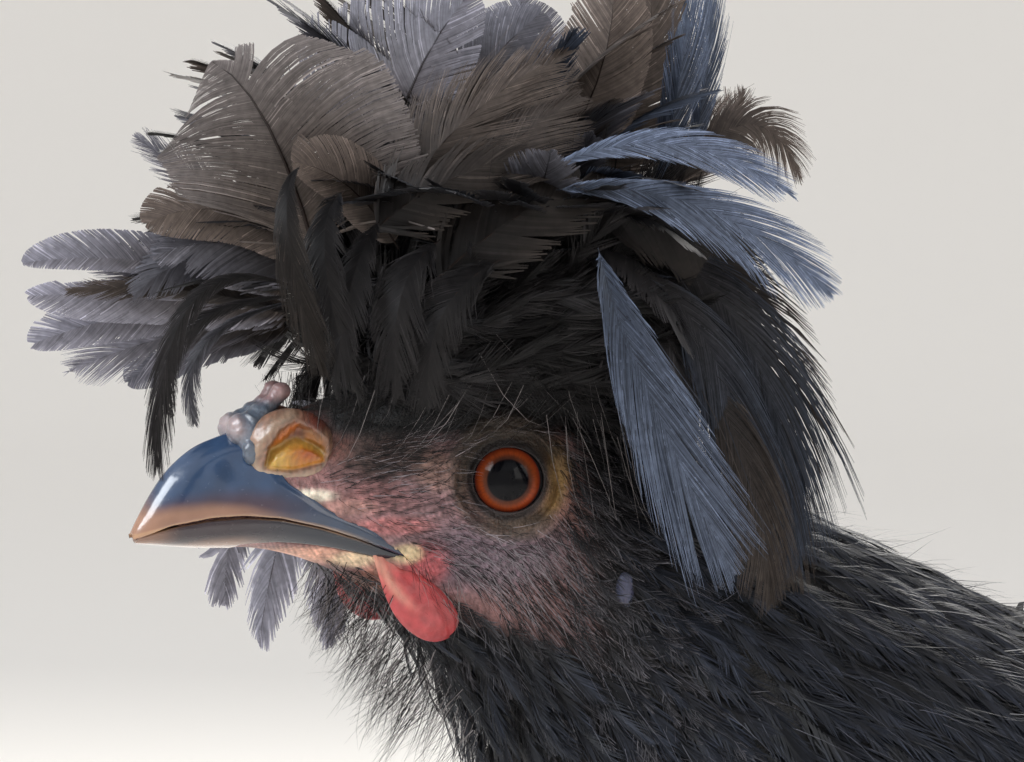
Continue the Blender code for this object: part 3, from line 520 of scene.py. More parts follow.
beak_places = np.linspace(0.0, 13.0, 261)
half_turn = np.linspace(0.2, math.pi - 0.1, 400)
ring_forward, ring_up, _ = measured(body_surface(beak_places[:, None], half_turn[None, :]))
mouth_angle = half_turn[np.argmax(ring_up < mouth_up(ring_forward), axis=1)]


def angle_of_mouth(place):
    """The angle round the head at which the mouth's line crosses a section."""
    return np.interp(place, beak_places, mouth_angle)


def horn_cover(place, angle):
    """How far inside the horn's edge a place of the head lies, in sections; below 0 it is bare skin."""
    turn = np.abs((angle + math.pi) % (2 * math.pi) - math.pi)
    limit = angle_of_mouth(place)
    above = np.interp(turn / limit, *UPPER_END)
    below = np.interp((math.pi - turn) / (math.pi - limit), *LOWER_END)
    return np.where(turn < limit, above, below) - place


# %% [markdown]
# ## One skin
# A grid of rings makes the head, neck and trunk in one sheet, with its rings close together on the face,
# where the picture looks. The sheet is drawn in under the horn, and under the coat by the feathers' depth.
# On the crown it swells into the bony knob that carries a Polish hen's crest.

# %% Rings of the skin
SKIN_COLUMNS = 240
HEAD_ROWS, NECK_ROWS, BODY_ROWS = 176, 26, 46
COAT_DEPTH = ((3.0, 11.0, 13.0, 15.0, 17.0, 20.0, 24.0, 30.0, 33.0),
              (0.0, 0.0, 0.4, 2.2, 4.5, 7.0, 9.0, 8.0, 2.0))
KNOB_CENTRE, KNOB_SIZE = (-6.0, 14.0), (12.0, 16.5, 11.5)
KNOB_HEART = (-6.0, 2.0)

places = np.concatenate([np.linspace(3.0, HEAD_END, HEAD_ROWS, endpoint=False),
                         np.linspace(HEAD_END, NECK_END, NECK_ROWS, endpoint=False),
                         np.linspace(NECK_END, BODY_END, BODY_ROWS)])
angles = np.arange(SKIN_COLUMNS) / SKIN_COLUMNS * 2 * math.pi
place_grid, angle_grid = np.meshgrid(places, angles, indexing="ij")
outer = body_surface(place_grid, angle_grid)


def facings(points):
    """Outward directions and directions to the tail on a grid of rings."""
    along = np.gradient(points, axis=0)
    around = np.roll(points, -1, axis=1) - np.roll(points, 1, axis=1)
    out = unit(np.cross(around, along))
    outward = points - points.mean(axis=1, keepdims=True)
    return out * np.sign((out * outward).sum(-1).mean()), unit(along)


def swollen(points, heart, centre, size):
    """Points pushed out from the heart until they lie on an egg-shaped swelling, where that is farther."""
    start, egg = at(*heart), np.array(size) * MM
    middle = at(*centre)
    ray = points - start
    reach = np.linalg.norm(ray, axis=-1, keepdims=True)
    ray = ray / reach
    a = ((ray / egg) ** 2).sum(-1, keepdims=True)
    b = ((ray / egg) * ((start - middle) / egg)).sum(-1, keepdims=True)
    c = (((start - middle) / egg) ** 2).sum() - 1
    root = b * b - a * c
    far = np.where(root > 0, (-b + np.sqrt(np.maximum(root, 0))) / a, 0)
    soft = 1.2 * MM
    longer = 0.5 * (reach + far + np.sqrt((reach - far) ** 2 + soft ** 2)) - soft / 2
    return start + ray * np.where(far > 0, longer, reach)


out_grid, _ = facings(outer)
depth = np.interp(place_grid, *COAT_DEPTH)
depth = depth + 0.9 * smooth(horn_cover(place_grid, angle_grid), -0.05, 0.25)
skin_grid = outer - out_grid * depth[..., None] * MM
skin_grid = np.where((place_grid > 7)[..., None] & (place_grid < 17)[..., None],
                     swollen(skin_grid, KNOB_HEART, KNOB_CENTRE, KNOB_SIZE), skin_grid)
print("skin rings:", skin_grid.shape[:2])

# %% [markdown]
# ## Shaping the face
# The face is sculpted in code, as one would with a clay tool: each stroke raises or sinks the skin round a
# place by an amount in millimetres. There is a brow over the eye, a hollow before it, a full cheek, the
# folded corner of the mouth and the low ridge that runs under the nostril. Fine creases circle the eye.

# %% Clay strokes
# forward, up, reach forward, reach up, height: positive raises the skin, negative sinks it
STROKES = (
    (1.0, 7.6, 9.0, 3.4, 1.3), (14.0, 2.0, 6.0, 4.0, -0.8), (-6.0, -9.0, 8.0, 5.0, 0.7),
    (11.4, -9.6, 1.7, 1.5, 0.75), (13.6, -8.0, 1.6, 1.3, 0.35), (8.6, -8.6, 3.2, 0.8, -0.5),
    (20.5, -1.0, 4.2, 1.2, 0.55), (15.5, -4.4, 5.0, 0.9, 0.4), (23.6, 4.2, 3.4, 3.2, -1.7),
    (12.0, -14.2, 9.0, 1.6, 0.5), (17.5, 5.0, 2.2, 3.5, 0.5), (-12.0, -2.0, 4.0, 6.0, 0.5),
)
eye_axis = Vector((math.cos(math.radians(20)) * math.cos(math.radians(4)),
                   -math.sin(math.radians(20)) * math.cos(math.radians(4)), math.sin(math.radians(4))))


def from_eye(points):
    """Distance out along the nearer eye's axis and away from it, in millimetres, and the clock angle."""
    side = np.where(points[..., 0] >= 0, 1.0, -1.0)
    axis = np.stack([side * eye_axis.x, np.full_like(side, eye_axis.y), np.full_like(side, eye_axis.z)], -1)
    offset = points - np.stack([side * EYE_BALL.x, np.full_like(side, EYE_BALL.y),
                                np.full_like(side, EYE_BALL.z)], -1)
    deep = (offset * axis).sum(-1)
    flat = offset - axis * deep[..., None]
    return deep / MM, np.linalg.norm(flat, axis=-1) / MM, np.arctan2(flat[..., 2], -flat[..., 1]), axis


def wrinkles(forward, up):
    """Fine folds that run from the eye to the beak and down the cheek, from -1 to 1."""
    fan = smooth(forward, 3.0, 8.0) * (1 - smooth(forward, 15.0, 22.0)) * np.exp(-((up + 2.0) / 6.0) ** 2)
    front = np.sin((up * 0.93 + forward * 0.36) * 6.0 + 0.8 * np.sin(forward * 0.9) + 0.6 * np.sin(up * 2.1))
    low = np.exp(-((forward - 1.0) / 9.0) ** 2 - ((up + 9.5) / 3.5) ** 2)
    cheek = np.sin((up * 0.8 + forward * 0.62) * 5.0 + 1.3 * np.sin(forward * 0.7) + 0.9 * np.sin(up * 1.3))
    return fan * front + low * cheek


# %% The sculpted face
def sculpted(points, out):
    """The face's strokes, and the creases round the eye."""
    forward, up, left = measured(points)
    height = np.zeros_like(forward)
    for f, u, reach_f, reach_u, rise in STROKES:
        height += rise * np.exp(-((forward - f) / reach_f) ** 2 - ((up - u) / reach_u) ** 2)
    deep, away, clock, _ = from_eye(points)
    wobble = 0.35 * np.sin(clock * 5 + 1.0) + 0.25 * np.sin(clock * 11)
    ring = np.exp(-((away - 7.4) / 2.0) ** 2) * smooth(deep, 0.0, 2.5)
    height += ring * (0.35 + 0.08 * np.sin(away * 6.2 + 2 * wobble))
    height += 0.13 * wrinkles(forward, up)
    return points + out * height[..., None] * MM * smooth(np.abs(left), 1.0, 4.0)[..., None]


face_out, _ = facings(skin_grid)
head_share = (1 - smooth(place_grid, 14.0, 15.5)) * (1 - smooth(horn_cover(place_grid, angle_grid), 0.0, 0.4))
skin_grid = blend(skin_grid, sculpted(skin_grid, face_out), head_share)
_, skin_back = facings(skin_grid)

face_tree = BVHTree.FromPolygons([Vector(p) for p in skin_grid.reshape(-1, 3)],
                                 grid_faces(*skin_grid.shape[:2], True).tolist())


def skin_beside(forward, up, side=1):
    """The skin's outermost point at a place of the face, seen from the side."""
    start = at(forward, up, 60 * side)
    return np.array(face_tree.ray_cast(Vector(start), Vector((-side, 0, 0)))[0])


# %% [markdown]
# ## Colours of the skin
# A pullet's face is mauve pink with a grey bloom. It turns to tan round the eye, to coral at the corner of
# the mouth and the wattle, and to cream just above the horn, painted brighter there as its wet highlight.
# Under the feathers the skin is dark. Its wrinkles are painted darker in their folds, as shade. One
# function gives the colour at any point, so that the lids and the folds agree with the skin beside them.

# %% The skin's colours
PLUMAGE_BLACK = np.array((0.010, 0.0095, 0.010))
# forward, up, reach forward, reach up, colour, strength
FACE_PATCHES = (
    (4.0, -3.0, 17.0, 12.0, (0.34, 0.19, 0.20), 1.0),
    (2.0, -9.5, 12.0, 5.6, (0.24, 0.17, 0.21), 0.95),
    (14.0, 3.6, 7.5, 4.6, (0.075, 0.048, 0.042), 0.92),
    (15.5, -2.2, 5.5, 2.4, (0.33, 0.15, 0.15), 0.8),
    (-1.6, 0.2, 8.6, 7.6, (0.20, 0.12, 0.08), 0.6),
    (8.4, 1.2, 3.0, 3.0, (0.44, 0.26, 0.21), 0.75),
    (-7.6, 1.4, 2.6, 4.0, (0.36, 0.22, 0.08), 0.75),
    (-9.4, -3.6, 2.8, 4.5, (0.38, 0.17, 0.13), 0.6),
    (-1.5, -6.0, 6.0, 2.0, (0.12, 0.085, 0.06), 0.7),
    (-1.0, 6.2, 7.5, 2.2, (0.035, 0.024, 0.018), 0.95),
    (3.8, 2.6, 2.0, 4.0, (0.15, 0.09, 0.05), 0.5),
    (13.5, -5.6, 5.4, 1.4, (0.62, 0.22, 0.22), 0.85),
    (19.0, -3.2, 4.2, 1.2, (0.56, 0.30, 0.26), 0.8),
    # the cream above the horn is partly its own colour and partly a painted wet highlight
    (23.6, -1.7, 3.6, 1.0, (0.95, 0.85, 0.70), 0.95),
    (9.4, -10.8, 3.6, 3.6, (0.56, 0.12, 0.13), 0.85),
    (11.8, -9.2, 2.4, 1.5, (0.90, 0.70, 0.42), 0.95),
    (23.0, -9.6, 9.0, 1.5, (0.80, 0.42, 0.30), 0.9),
    (17.2, -10.0, 3.2, 1.4, (0.95, 0.72, 0.48), 0.9),
    (14.0, -13.0, 2.6, 3.4, (0.85, 0.40, 0.30), 0.85),
    (22.0, 9.0, 3.6, 3.0, (0.08, 0.028, 0.022), 0.9),
    (20.0, 5.0, 2.4, 3.4, (0.20, 0.075, 0.055), 0.8),
    (25.0, 5.0, 4.4, 3.6, (0.36, 0.16, 0.07), 0.8),
)
FACE_DEPTH = 0.66
BROW_LIMITS = (4.4, 6.6)
SHANK_TINT, SOLE_TINT = (0.075, 0.09, 0.105), (0.26, 0.22, 0.17)


def skin_tint(points):
    """The colour of the skin at points in metres."""
    forward, up, left = measured(points)
    tint = np.broadcast_to(np.array((0.25, 0.13, 0.125)), points.shape).copy()
    for f, u, reach_f, reach_u, colour, strength in FACE_PATCHES:
        colour = np.array(colour) * FACE_DEPTH
        away = np.hypot((forward - f) / reach_f, (up - u) / reach_u)
        tint = blend(tint, colour, strength * (1 - smooth(away, 0.45, 1.15)))
    pores = np.sin(forward * 6.3 + 2 * np.sin(up * 2.9)) * np.sin(up * 5.7 + 2 * np.sin(forward * 3.1))
    # The wrinkles are painted darker in their folds and lighter on their ridges: painted shade. The pores add a
    # fine mottle of the skin's own.
    crease_shade_and_pores = 0.30 * wrinkles(forward, up) + 0.22 * pores * smooth(np.hypot(forward, up), 5, 9)
    tint = tint * (1 + crease_shade_and_pores)[..., None]
    jaw = -13.2 - 0.33 * (12 - forward)
    coated = np.maximum.reduce([smooth(up, *BROW_LIMITS), smooth(-up + jaw, -0.5, 3.5),
                                smooth(-forward, 9.5, 14.0)])
    tint = blend(tint, PLUMAGE_BLACK, coated * (1 - smooth(forward, 19.0, 22.0)))
    low = up < -196
    sole = smooth(-up, 284.5, 289.0)[..., None]
    shank = np.array(SHANK_TINT) * (1 - sole) + np.array(SOLE_TINT) * sole
    return np.where(low[..., None], shank, tint)


# %% [markdown]
# ## Lids
# The opening of the eye is round, with a thin grey rim that lies on the eyeball and a fold behind it. Each
# lid is a polar grid about the eye's own axis, because creases run round the eye. Its outer edge dips under
# the face, and it belongs to the same skin. Under it the face is sunk, so that the eyeball has its socket.

# %% Lids and sockets
EYE_OPENING, LID_OUTER = 4.22, 9.4
LID_RINGS, LID_SPOKES = 40, 180


def lid_points(side):
    """The polar grid of one eye's lids."""
    axis = Vector((side * eye_axis.x, eye_axis.y, eye_axis.z))
    centre = Vector((side * EYE_BALL.x, EYE_BALL.y, EYE_BALL.z))
    up = (Vector((0, 0, 1)) - axis * axis.z).normalized()
    ahead = up.cross(axis) * side
    grid = np.empty((LID_RINGS, LID_SPOKES, 3))
    for j in range(LID_SPOKES):
        clock = 2 * math.pi * j / LID_SPOKES
        spoke = ahead * math.cos(clock) + up * math.sin(clock)
        narrow = EYE_OPENING * (1 + 0.045 * math.cos(2 * clock) + 0.03 * math.cos(clock))
        wobble = 0.5 * math.sin(5 * clock + 0.7) + 0.35 * math.sin(11 * clock) + 0.2 * math.sin(23 * clock)
        lower = smooth(-math.sin(clock), -0.2, 0.9)
        for i in range(LID_RINGS):
            share = i / (LID_RINGS - 1)
            away = narrow + (LID_OUTER - narrow) * share ** 1.35
            flat = centre + spoke * away * MM
            hit = face_tree.ray_cast(flat + axis * 30 * MM, -axis)[0]
            face = (hit - flat).dot(axis) / MM
            ball = math.sqrt(max(EYE_RADIUS ** 2 - away ** 2, 0.0))
            margin = ball + 0.62 + 0.1 * lower
            settle = float(smooth(away, narrow + 0.35, narrow + 2.6))
            height = margin * (1 - settle) + max(face + 0.25, ball * 0.4) * settle
            folds = math.exp(-((away - 6.3) / 1.7) ** 2)
            height += folds * (0.07 * math.sin(away * 6.0 + 2.2 * wobble) + 0.22 * lower + 0.1)
            grain = math.sin(37 * clock + 3 * math.sin(away * 3)) * math.sin(away * 6.3 + 5 * math.sin(7 * clock))
            height += 0.13 * grain * folds
            if i < 3:
                height = ball - 0.25 + (margin - ball + 0.25) * (0.0, 0.62, 0.92)[i]
            dip = smooth(away, LID_OUTER - 1.4, LID_OUTER)
            height = height * (1 - dip) + (face - 0.5) * dip
            grid[i, j] = flat + axis * height * MM
    return grid


lids = [lid_points(side) for side in (1, -1)]
deep, away, _, eye_axes = from_eye(skin_grid)
under = np.where(deep > 0, 1 - smooth(away, LID_OUTER - 2.0, LID_OUTER - 0.2), 0.0)
ball = np.sqrt(np.maximum(EYE_RADIUS ** 2 - away ** 2, 0.0))
socket = np.minimum(deep - 0.9, np.where(away < 5.4, ball - 1.6, deep))
skin_grid = skin_grid + eye_axes * ((socket - deep) * under)[..., None] * MM

# %% [markdown]
# ## Joining the skin
# The trunk's sheet is closed at both ends and becomes a solid. The drumsticks are copies of their solids,
# drawn in by the coat, the wing arms and the tail root are eggs, and the shanks and toes are copies made
# finer, with their plates raised. One Boolean union makes a single skin of them, and the lids are joined last.

# %% Legs and arms
HOCK, FOOT = (-158.0, -205.0), (-130.0, -281.5)
HOCK_LEFT, FOOT_LEFT = 34.0, 36.0
TOES = {"inner": -27.0, "middle": 3.0, "outer": 34.0, "back": 163.0}
PLATE_LENGTH, PLATE_RISE = 4.3, 0.28


def fine_copy(names, voxel, drawn_in, rounds):
    """Copies of solids made one fine closed mesh, smoothed and drawn in."""
    bpy.ops.object.select_all(action="DESELECT")
    for name in names:
        twin = frame["nodes"][name].copy()
        twin.data = twin.data.copy()
        twin.parent = None
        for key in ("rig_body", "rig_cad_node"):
            del twin[key]
        bpy.context.scene.collection.objects.link(twin)
        twin.select_set(True)
        bpy.context.view_layer.objects.active = twin
    bpy.ops.object.join()
    made = bpy.context.object
    bpy.ops.object.mode_set(mode="EDIT")
    bpy.ops.mesh.select_all(action="SELECT")
    bpy.ops.mesh.remove_doubles(threshold=1e-6)
    bpy.ops.object.mode_set(mode="OBJECT")
    made.data.remesh_voxel_size = voxel * MM
    bpy.ops.object.voxel_remesh()
    soften = made.modifiers.new("soften", "SMOOTH")
    soften.factor, soften.iterations = 0.5, rounds
    bpy.ops.object.modifier_apply(modifier="soften")
    if drawn_in:
        shrink = made.modifiers.new("draw_in", "DISPLACE")
        shrink.strength, shrink.mid_level = -drawn_in * MM, 0.0
        bpy.ops.object.modifier_apply(modifier="draw_in")
    return made


# %% Scales of the shanks
def raised_plates(obj, side):
    """The horny plates down the front of a shank and along the top of each toe."""
    points = points_of(obj)
    normals = np.empty(len(points) * 3, np.float32)
    obj.data.vertices.foreach_get("normal", normals)
    normals = normals.reshape(-1, 3)
    hock, foot = at(*HOCK, side * HOCK_LEFT), at(*FOOT, side * FOOT_LEFT)
    axis = unit(foot - hock)
    run = ((points - hock) @ axis) / MM
    length = np.linalg.norm(foot - hock) / MM
    on_shank = 1 - smooth(run, length - 9, length - 4)
    front = smooth(-normals[:, 1], -0.25, 0.35)
    wave = np.abs(np.sin(math.pi * run / PLATE_LENGTH)) ** 0.45
    rise = on_shank * (wave - 0.8) * (0.45 + 0.55 * front)
    flat = points - foot
    best = np.full(len(points), -1e9)
    toe_wave = np.zeros(len(points))
    for yaw in TOES.values():
        turn = math.radians(side * yaw)
        heading = np.array((math.sin(turn), -math.cos(turn), 0.0))
        ahead = flat @ heading / MM
        aside = np.abs(flat @ np.array((heading[1], -heading[0], 0.0))) / MM
        score = ahead - 3 * aside
        plate_wave = np.abs(np.sin(math.pi * ahead / (PLATE_LENGTH * 0.8))) ** 0.45
        toe_wave = np.where(score > best, plate_wave, toe_wave)
        best = np.maximum(best, score)
    rise += (1 - on_shank) * (toe_wave - 0.8) * smooth(normals[:, 2], -0.1, 0.5)
    moved = points + normals * rise[:, None] * PLATE_RISE * MM
    moved[:, 2] = np.maximum(moved[:, 2], np.where(points[:, 2] < 0.4 * MM, 0.0, points[:, 2] * 0.5))
    set_points(obj, moved)


bulk = [fine_copy([f"thigh_{word}"], 2.2, 4.0, 6) for word in ("left", "right")]
bulk += [fine_copy([f"shank_{word}", f"foot_{word}"], 0.85, 0.0, 5) for word in ("left", "right")]
for leg, side in zip(bulk[2:], (1, -1)):
    raised_plates(leg, side)

# %% The one skin
ARM_CENTRE, ARM_SIZE = (-116.0, -95.0, 57.0), (50.0, 28.0, 9.0)
RUMP_CENTRE, RUMP_SIZE = (-258.0, -73.0, 0.0), (22.0, 13.0, 13.0)


def closed_rings(name, grid):
    """A solid from a grid of rings, its two ends closed."""
    rows, columns = grid.shape[:2]
    bm = bmesh.new()
    verts = [bm.verts.new(p) for p in grid.reshape(-1, 3)]
    for face in grid_faces(rows, columns, True):
        bm.faces.new([verts[i] for i in face])
    bm.faces.new(verts[:columns])
    bm.faces.new(verts[-columns:])
    bmesh.ops.recalc_face_normals(bm, faces=bm.faces)
    mesh = bpy.data.meshes.new(name)
    bm.to_mesh(mesh)
    bm.free()
    made = bpy.data.objects.new(name, mesh)
    bpy.context.scene.collection.objects.link(made)
    return made


def egg(name, centre, size, segments=48, rings=32):
    """A ball shaped to three half sizes, its place in its mesh."""
    bpy.ops.mesh.primitive_uv_sphere_add(segments=segments, ring_count=rings, radius=1.0)
    made = bpy.context.object
    made.name = name
    local = points_of(made)
    forward, up, left = centre
    set_points(made, at(forward - local[:, 1] * size[0], up + local[:, 2] * size[1], left + local[:, 0] * size[2]))
    return made


for side in (1, -1):
    bulk.append(egg("arm", (ARM_CENTRE[0], ARM_CENTRE[1], side * ARM_CENTRE[2]), ARM_SIZE))
bulk.append(egg("rump", RUMP_CENTRE, RUMP_SIZE))
skin = closed_rings("skin", skin_grid)
union = bpy.data.collections.new("union")
bpy.context.scene.collection.children.link(union)
for piece in bulk:
    for home in list(piece.users_collection):
        home.objects.unlink(piece)
    union.objects.link(piece)
join = skin.modifiers.new("join", "BOOLEAN")
join.operation, join.operand_type, join.solver = "UNION", "COLLECTION", "MANIFOLD"
join.collection = union
bpy.ops.object.select_all(action="DESELECT")
bpy.context.view_layer.objects.active = skin
skin.select_set(True)
bpy.ops.object.modifier_apply(modifier="join")
for piece in bulk:
    bpy.data.objects.remove(piece)
bpy.data.collections.remove(union)
for number, grid in enumerate(lids):
    faces = grid_faces(LID_RINGS, LID_SPOKES, True)
    lid = mesh_piece(f"lid_{number}", grid.reshape(-1, 3), faces if number else faces[:, ::-1],
                     (0, 0, 0), SKIN_LOOK)
    lid.select_set(True)
bpy.ops.object.join()
skin.data.materials.clear()
skin.data.materials.append(SKIN_LOOK)
skin.data.shade_smooth()


# %% The skin and lids painted
def lid_tint(points, tint):
    """The rim of the lids is dark grey, and the fold outside it olive."""
    deep, away, clock, _ = from_eye(points)
    near = smooth(deep, 1.0, 3.0)
    patch = 0.5 + 0.5 * np.sin(clock * 3 + away * 1.3)
    fold = near * smooth(away, 4.7, 5.4) * (1 - smooth(away, 6.4, 8.0)) * (0.55 + 0.35 * patch)
    grain = np.sin(clock * 37 + 3 * np.sin(away * 3)) * np.sin(away * 6.3 + 5 * np.sin(7 * clock))
    # The colour follows the lid's creases: painted shade in their folds, lighter on their ridges.
    tint = blend(tint, (0.070, 0.046, 0.030), fold) * (1 + 0.45 * near * grain)[..., None]
    behind = np.exp(-((away - 6.6) / 1.2) ** 2) * smooth(-np.cos(clock), 0.55, 0.95) * near
    tint = blend(tint, (0.30, 0.17, 0.045), behind * 0.7)
    upper = near * (1 - smooth(away, 7.4, 9.2)) * smooth(np.sin(clock), -0.05, 0.6)
    tint = blend(tint, (0.032, 0.021, 0.014), upper * 0.9)
    rim = near * (1 - smooth(away, 4.8, 5.5))
    return blend(tint, (0.020, 0.016, 0.016), rim * 0.95)


skin_points = points_of(skin)
paint(skin.data, lid_tint(skin_points, skin_tint(skin_points)))
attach(skin, "root")
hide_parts("head", "neck", "torso", "thigh_left", "thigh_right",
            "shank_left", "shank_right", "foot_left", "foot_right")
print("skin:", len(skin.data.polygons), "faces")

# %% [markdown]
# ## Beak
# Each half of the beak is a sheet that follows the head's sections a little outside the skin. It is laid
# out in strips from the tip to the horn's rear edge, so that the edge curves as the real one does. Solidify
# gives the horn its wall. It is slate blue above, with a paler tan tip and biting edge that show the light.

# %% Two halves of horn
HORN_OUT = 0.38
HORN_WALL = 0.55
HORN_COLUMNS, HORN_ROWS = 97, 110


def horn_half(name, upper):
    """One half of the beak, from the tip to its curved rear edge."""
    across = np.linspace(-1, 1, HORN_COLUMNS)
    run = np.linspace(0, 1, HORN_ROWS)[:, None] ** 0.9
    start = 0.02 if upper else 0.75
    end = np.interp(np.abs(across), *(UPPER_END if upper else LOWER_END))[None, :]
    place = start + (end + 0.1 - start) * run
    limit = angle_of_mouth(place)
    turn = across * limit if upper else math.pi + across * (math.pi - limit)
    sheet = body_surface(place, turn)
    out = unit(sheet - at(*measured(sheet)[:2], 0.0) + np.array((0, 0, 1e-6)))
    rise = np.cos(turn)[..., None] * np.array((0, 0, 1.0))
    out = unit(out * np.abs(np.sin(turn))[..., None] + rise)
    edge = np.abs(across)[None, :] ** 14
    rear = 1 - smooth(run, 0.93, 1.0) * 0.75
    push = HORN_OUT * rear - (0.16 if upper else 0.42) * edge - (0.0 if upper else 0.24)
    sheet = sheet + out * push[..., None] * MM
    forward, up, left = measured(sheet)
    if upper:
        hook = smooth(forward, 40.0, 44.5) * 0.5
        up = up - hook
        ridge = np.exp(-(across[None, :] / 0.16) ** 2) * smooth(forward, 46.0, 36.0) * 0.25
        up = up + ridge
        dent = np.exp(-((forward - 31.5) / 3.2) ** 2 - ((up - 1.5) / 2.6) ** 2) * 0.45
        left = left - np.sign(left) * dent * smooth(np.abs(left), 0.5, 2.5)
    up = up + (0.12 if upper else -0.18) * edge
    sheet = at(forward, up, left)
    faces = grid_faces(HORN_ROWS, HORN_COLUMNS, False)
    half = mesh_piece(name, sheet.reshape(-1, 3), faces, (0.1, 0.1, 0.1), HORN_LOOK)
    bpy.ops.object.select_all(action="DESELECT")
    bpy.context.view_layer.objects.active = half
    half.select_set(True)
    bpy.ops.object.mode_set(mode="EDIT")
    bpy.ops.mesh.select_all(action="SELECT")
    bpy.ops.mesh.normals_make_consistent(inside=False)
    bpy.ops.object.mode_set(mode="OBJECT")
    wall = half.modifiers.new("wall", "SOLIDIFY")
    wall.thickness, wall.offset = HORN_WALL * MM, -1.0
    bpy.ops.object.modifier_apply(modifier="wall")
    half.data.shade_smooth()
    paint(half.data, horn_tint(points_of(half), upper))
    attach(half, "root")
    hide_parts(name[:-5])
    return half


# %% The horn painted
def horn_tint(points, upper):
    """Slate blue horn with a tan tip and biting edge."""
    forward, up, left = measured(points)
    above = up - mouth_up(forward)
    slate, dark = np.array((0.030, 0.058, 0.118)), np.array((0.014, 0.018, 0.030))
    tan, plum = np.array((0.27, 0.145, 0.095)), np.array((0.055, 0.026, 0.032))
    band = 0.5 + 0.5 * np.sin(forward * 1.7 + up * 0.9)
    if upper:
        tint = blend(slate, dark, smooth(-forward, -30.0, -17.0) * 0.5 + 0.2 * band)
        tint = blend(tint, plum, smooth(forward, 21.0, 30.0) * (1 - smooth(above, 1.6, 4.2)) * 0.8)
        edge = (1 - smooth(above, 0.2 + 0.07 * (forward - 26), 1.2 + 0.14 * (forward - 26)))
        tint = blend(tint, tan, edge * smooth(forward, 24.0, 34.0) * 0.9)
        tint = blend(tint, tan * 1.1, smooth(forward, 41.0, 45.0))
    else:
        tint = blend(dark * 0.8, np.array((0.030, 0.019, 0.024)), smooth(forward, 22.0, 34.0))
        bottom = smooth(-above, 2.2, 3.6) * smooth(forward, 26.0, 34.0)
        tint = blend(tint, tan * 0.85, np.maximum(bottom, smooth(forward, 38.5, 43.0)) * 0.85)
    thin_edge = (1 - smooth(np.abs(above), 0.1, 0.42)) * smooth(forward, 14.0, 20.0)
    return blend(tint, (0.45, 0.27, 0.15), thin_edge * 0.6)


for half_name, is_upper in (("beak_upper_horn", True), ("beak_lower_horn", False)):
    horn_half(half_name, is_upper)

# %% [markdown]
# ## Eyes
# The eyeball is a ball with a clearer bulge in front. Its iris is orange-red, darker towards the pupil and
# ringed by a black rim, and its pupil is wide. Fine fibres run out from the pupil. All of it is under a
# wet coat, so the window and the other lights show in it as small highlights.

# %% Eyeballs
IRIS_REACH, PUPIL_REACH = 4.05, 2.62
CORNEA_RISE = 0.35


def eyeball(name, side):
    bpy.ops.mesh.primitive_uv_sphere_add(segments=128, ring_count=90, radius=EYE_RADIUS * MM)
    ball = bpy.context.object
    ball.name = name + "_ball"
    axis = Vector((side * eye_axis.x, eye_axis.y, eye_axis.z))
    turn = np.array(axis.to_track_quat("Z", "Y").to_matrix())
    local = points_of(ball)
    away = np.hypot(local[:, 0], local[:, 1]) / MM
    front = local[:, 2] > 0
    local[:, 2] += np.where(front, CORNEA_RISE * (1 - smooth(away, 0.0, IRIS_REACH + 0.5)), 0.0) * MM
    clock = np.arctan2(local[:, 1], local[:, 0])
    centre = np.array((side * EYE_BALL.x, EYE_BALL.y, EYE_BALL.z))
    set_points(ball, local @ turn.T + centre)
    fibres = 0.5 + 0.25 * np.sin(clock * 41 + 2 * np.sin(clock * 7)) + 0.25 * np.sin(clock * 67 + away * 5)
    outer_iris, inner_iris = np.array((0.34, 0.058, 0.011)), np.array((0.050, 0.020, 0.014))
    outward = smooth(away, PUPIL_REACH + 0.1, PUPIL_REACH + 1.0) * (0.55 + 0.45 * fibres)
    tint = blend(inner_iris, outer_iris, outward)
    tint = blend(tint, (0.11, 0.030, 0.010), (0.5 + 0.5 * np.sin(clock * 3 + away * 2)) * 0.45)
    tint = blend(tint, (0.12, 0.015, 0.006), smooth(away, 3.3, 3.95) * 0.8)
    tint = blend(tint, (0.003, 0.003, 0.004), 1 - smooth(away, PUPIL_REACH - 0.12, PUPIL_REACH + 0.1))
    tint = blend(tint, (0.012, 0.011, 0.012), smooth(away, IRIS_REACH - 0.12, IRIS_REACH + 0.1))
    tint = blend(tint, (0.012, 0.011, 0.012), (~front).astype(float))
    paint(ball.data, tint)
    ball.data.materials.append(EYE_LOOK)
    ball.data.shade_smooth()
    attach(ball, "root")
    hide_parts(name)


eyeball("eye_left", 1)
eyeball("eye_right", -1)

# %% [markdown]
# ## Nostrils
# A Polish hen has wide, arched nostrils that stand up at the root of the beak. Each is an orange hollow with
# a plump lobe rising in it, a second fold above, and a wet, pale rim that curves over the front and runs
# back below as a lip. Each begins as a ball sunk in the skin, and its outer face is then pushed in and out
# beside a few lines, as one draws with a thumb in clay.

# %% Nostril folds
def finished(obj, tint, look):
    """Paints a small fleshy piece, smooths it and lets it ride."""
    obj.data.materials.clear()
    obj.data.materials.append(look)
    paint(obj.data, tint)
    obj.data.shade_smooth()
    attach(obj, "root")


def beside(forward, up, path):
    """How far places of the face lie from a line of places, in millimetres."""
    near = np.full(np.shape(forward), 99.0)
    for (f0, u0), (f1, u1) in zip(path[:-1], path[1:]):
        run_f, run_u = f1 - f0, u1 - u0
        share = np.clip(((forward - f0) * run_f + (up - u0) * run_u) / (run_f ** 2 + run_u ** 2), 0, 1)
        near = np.minimum(near, np.hypot(forward - f0 - share * run_f, up - u0 - share * run_u))
    return near


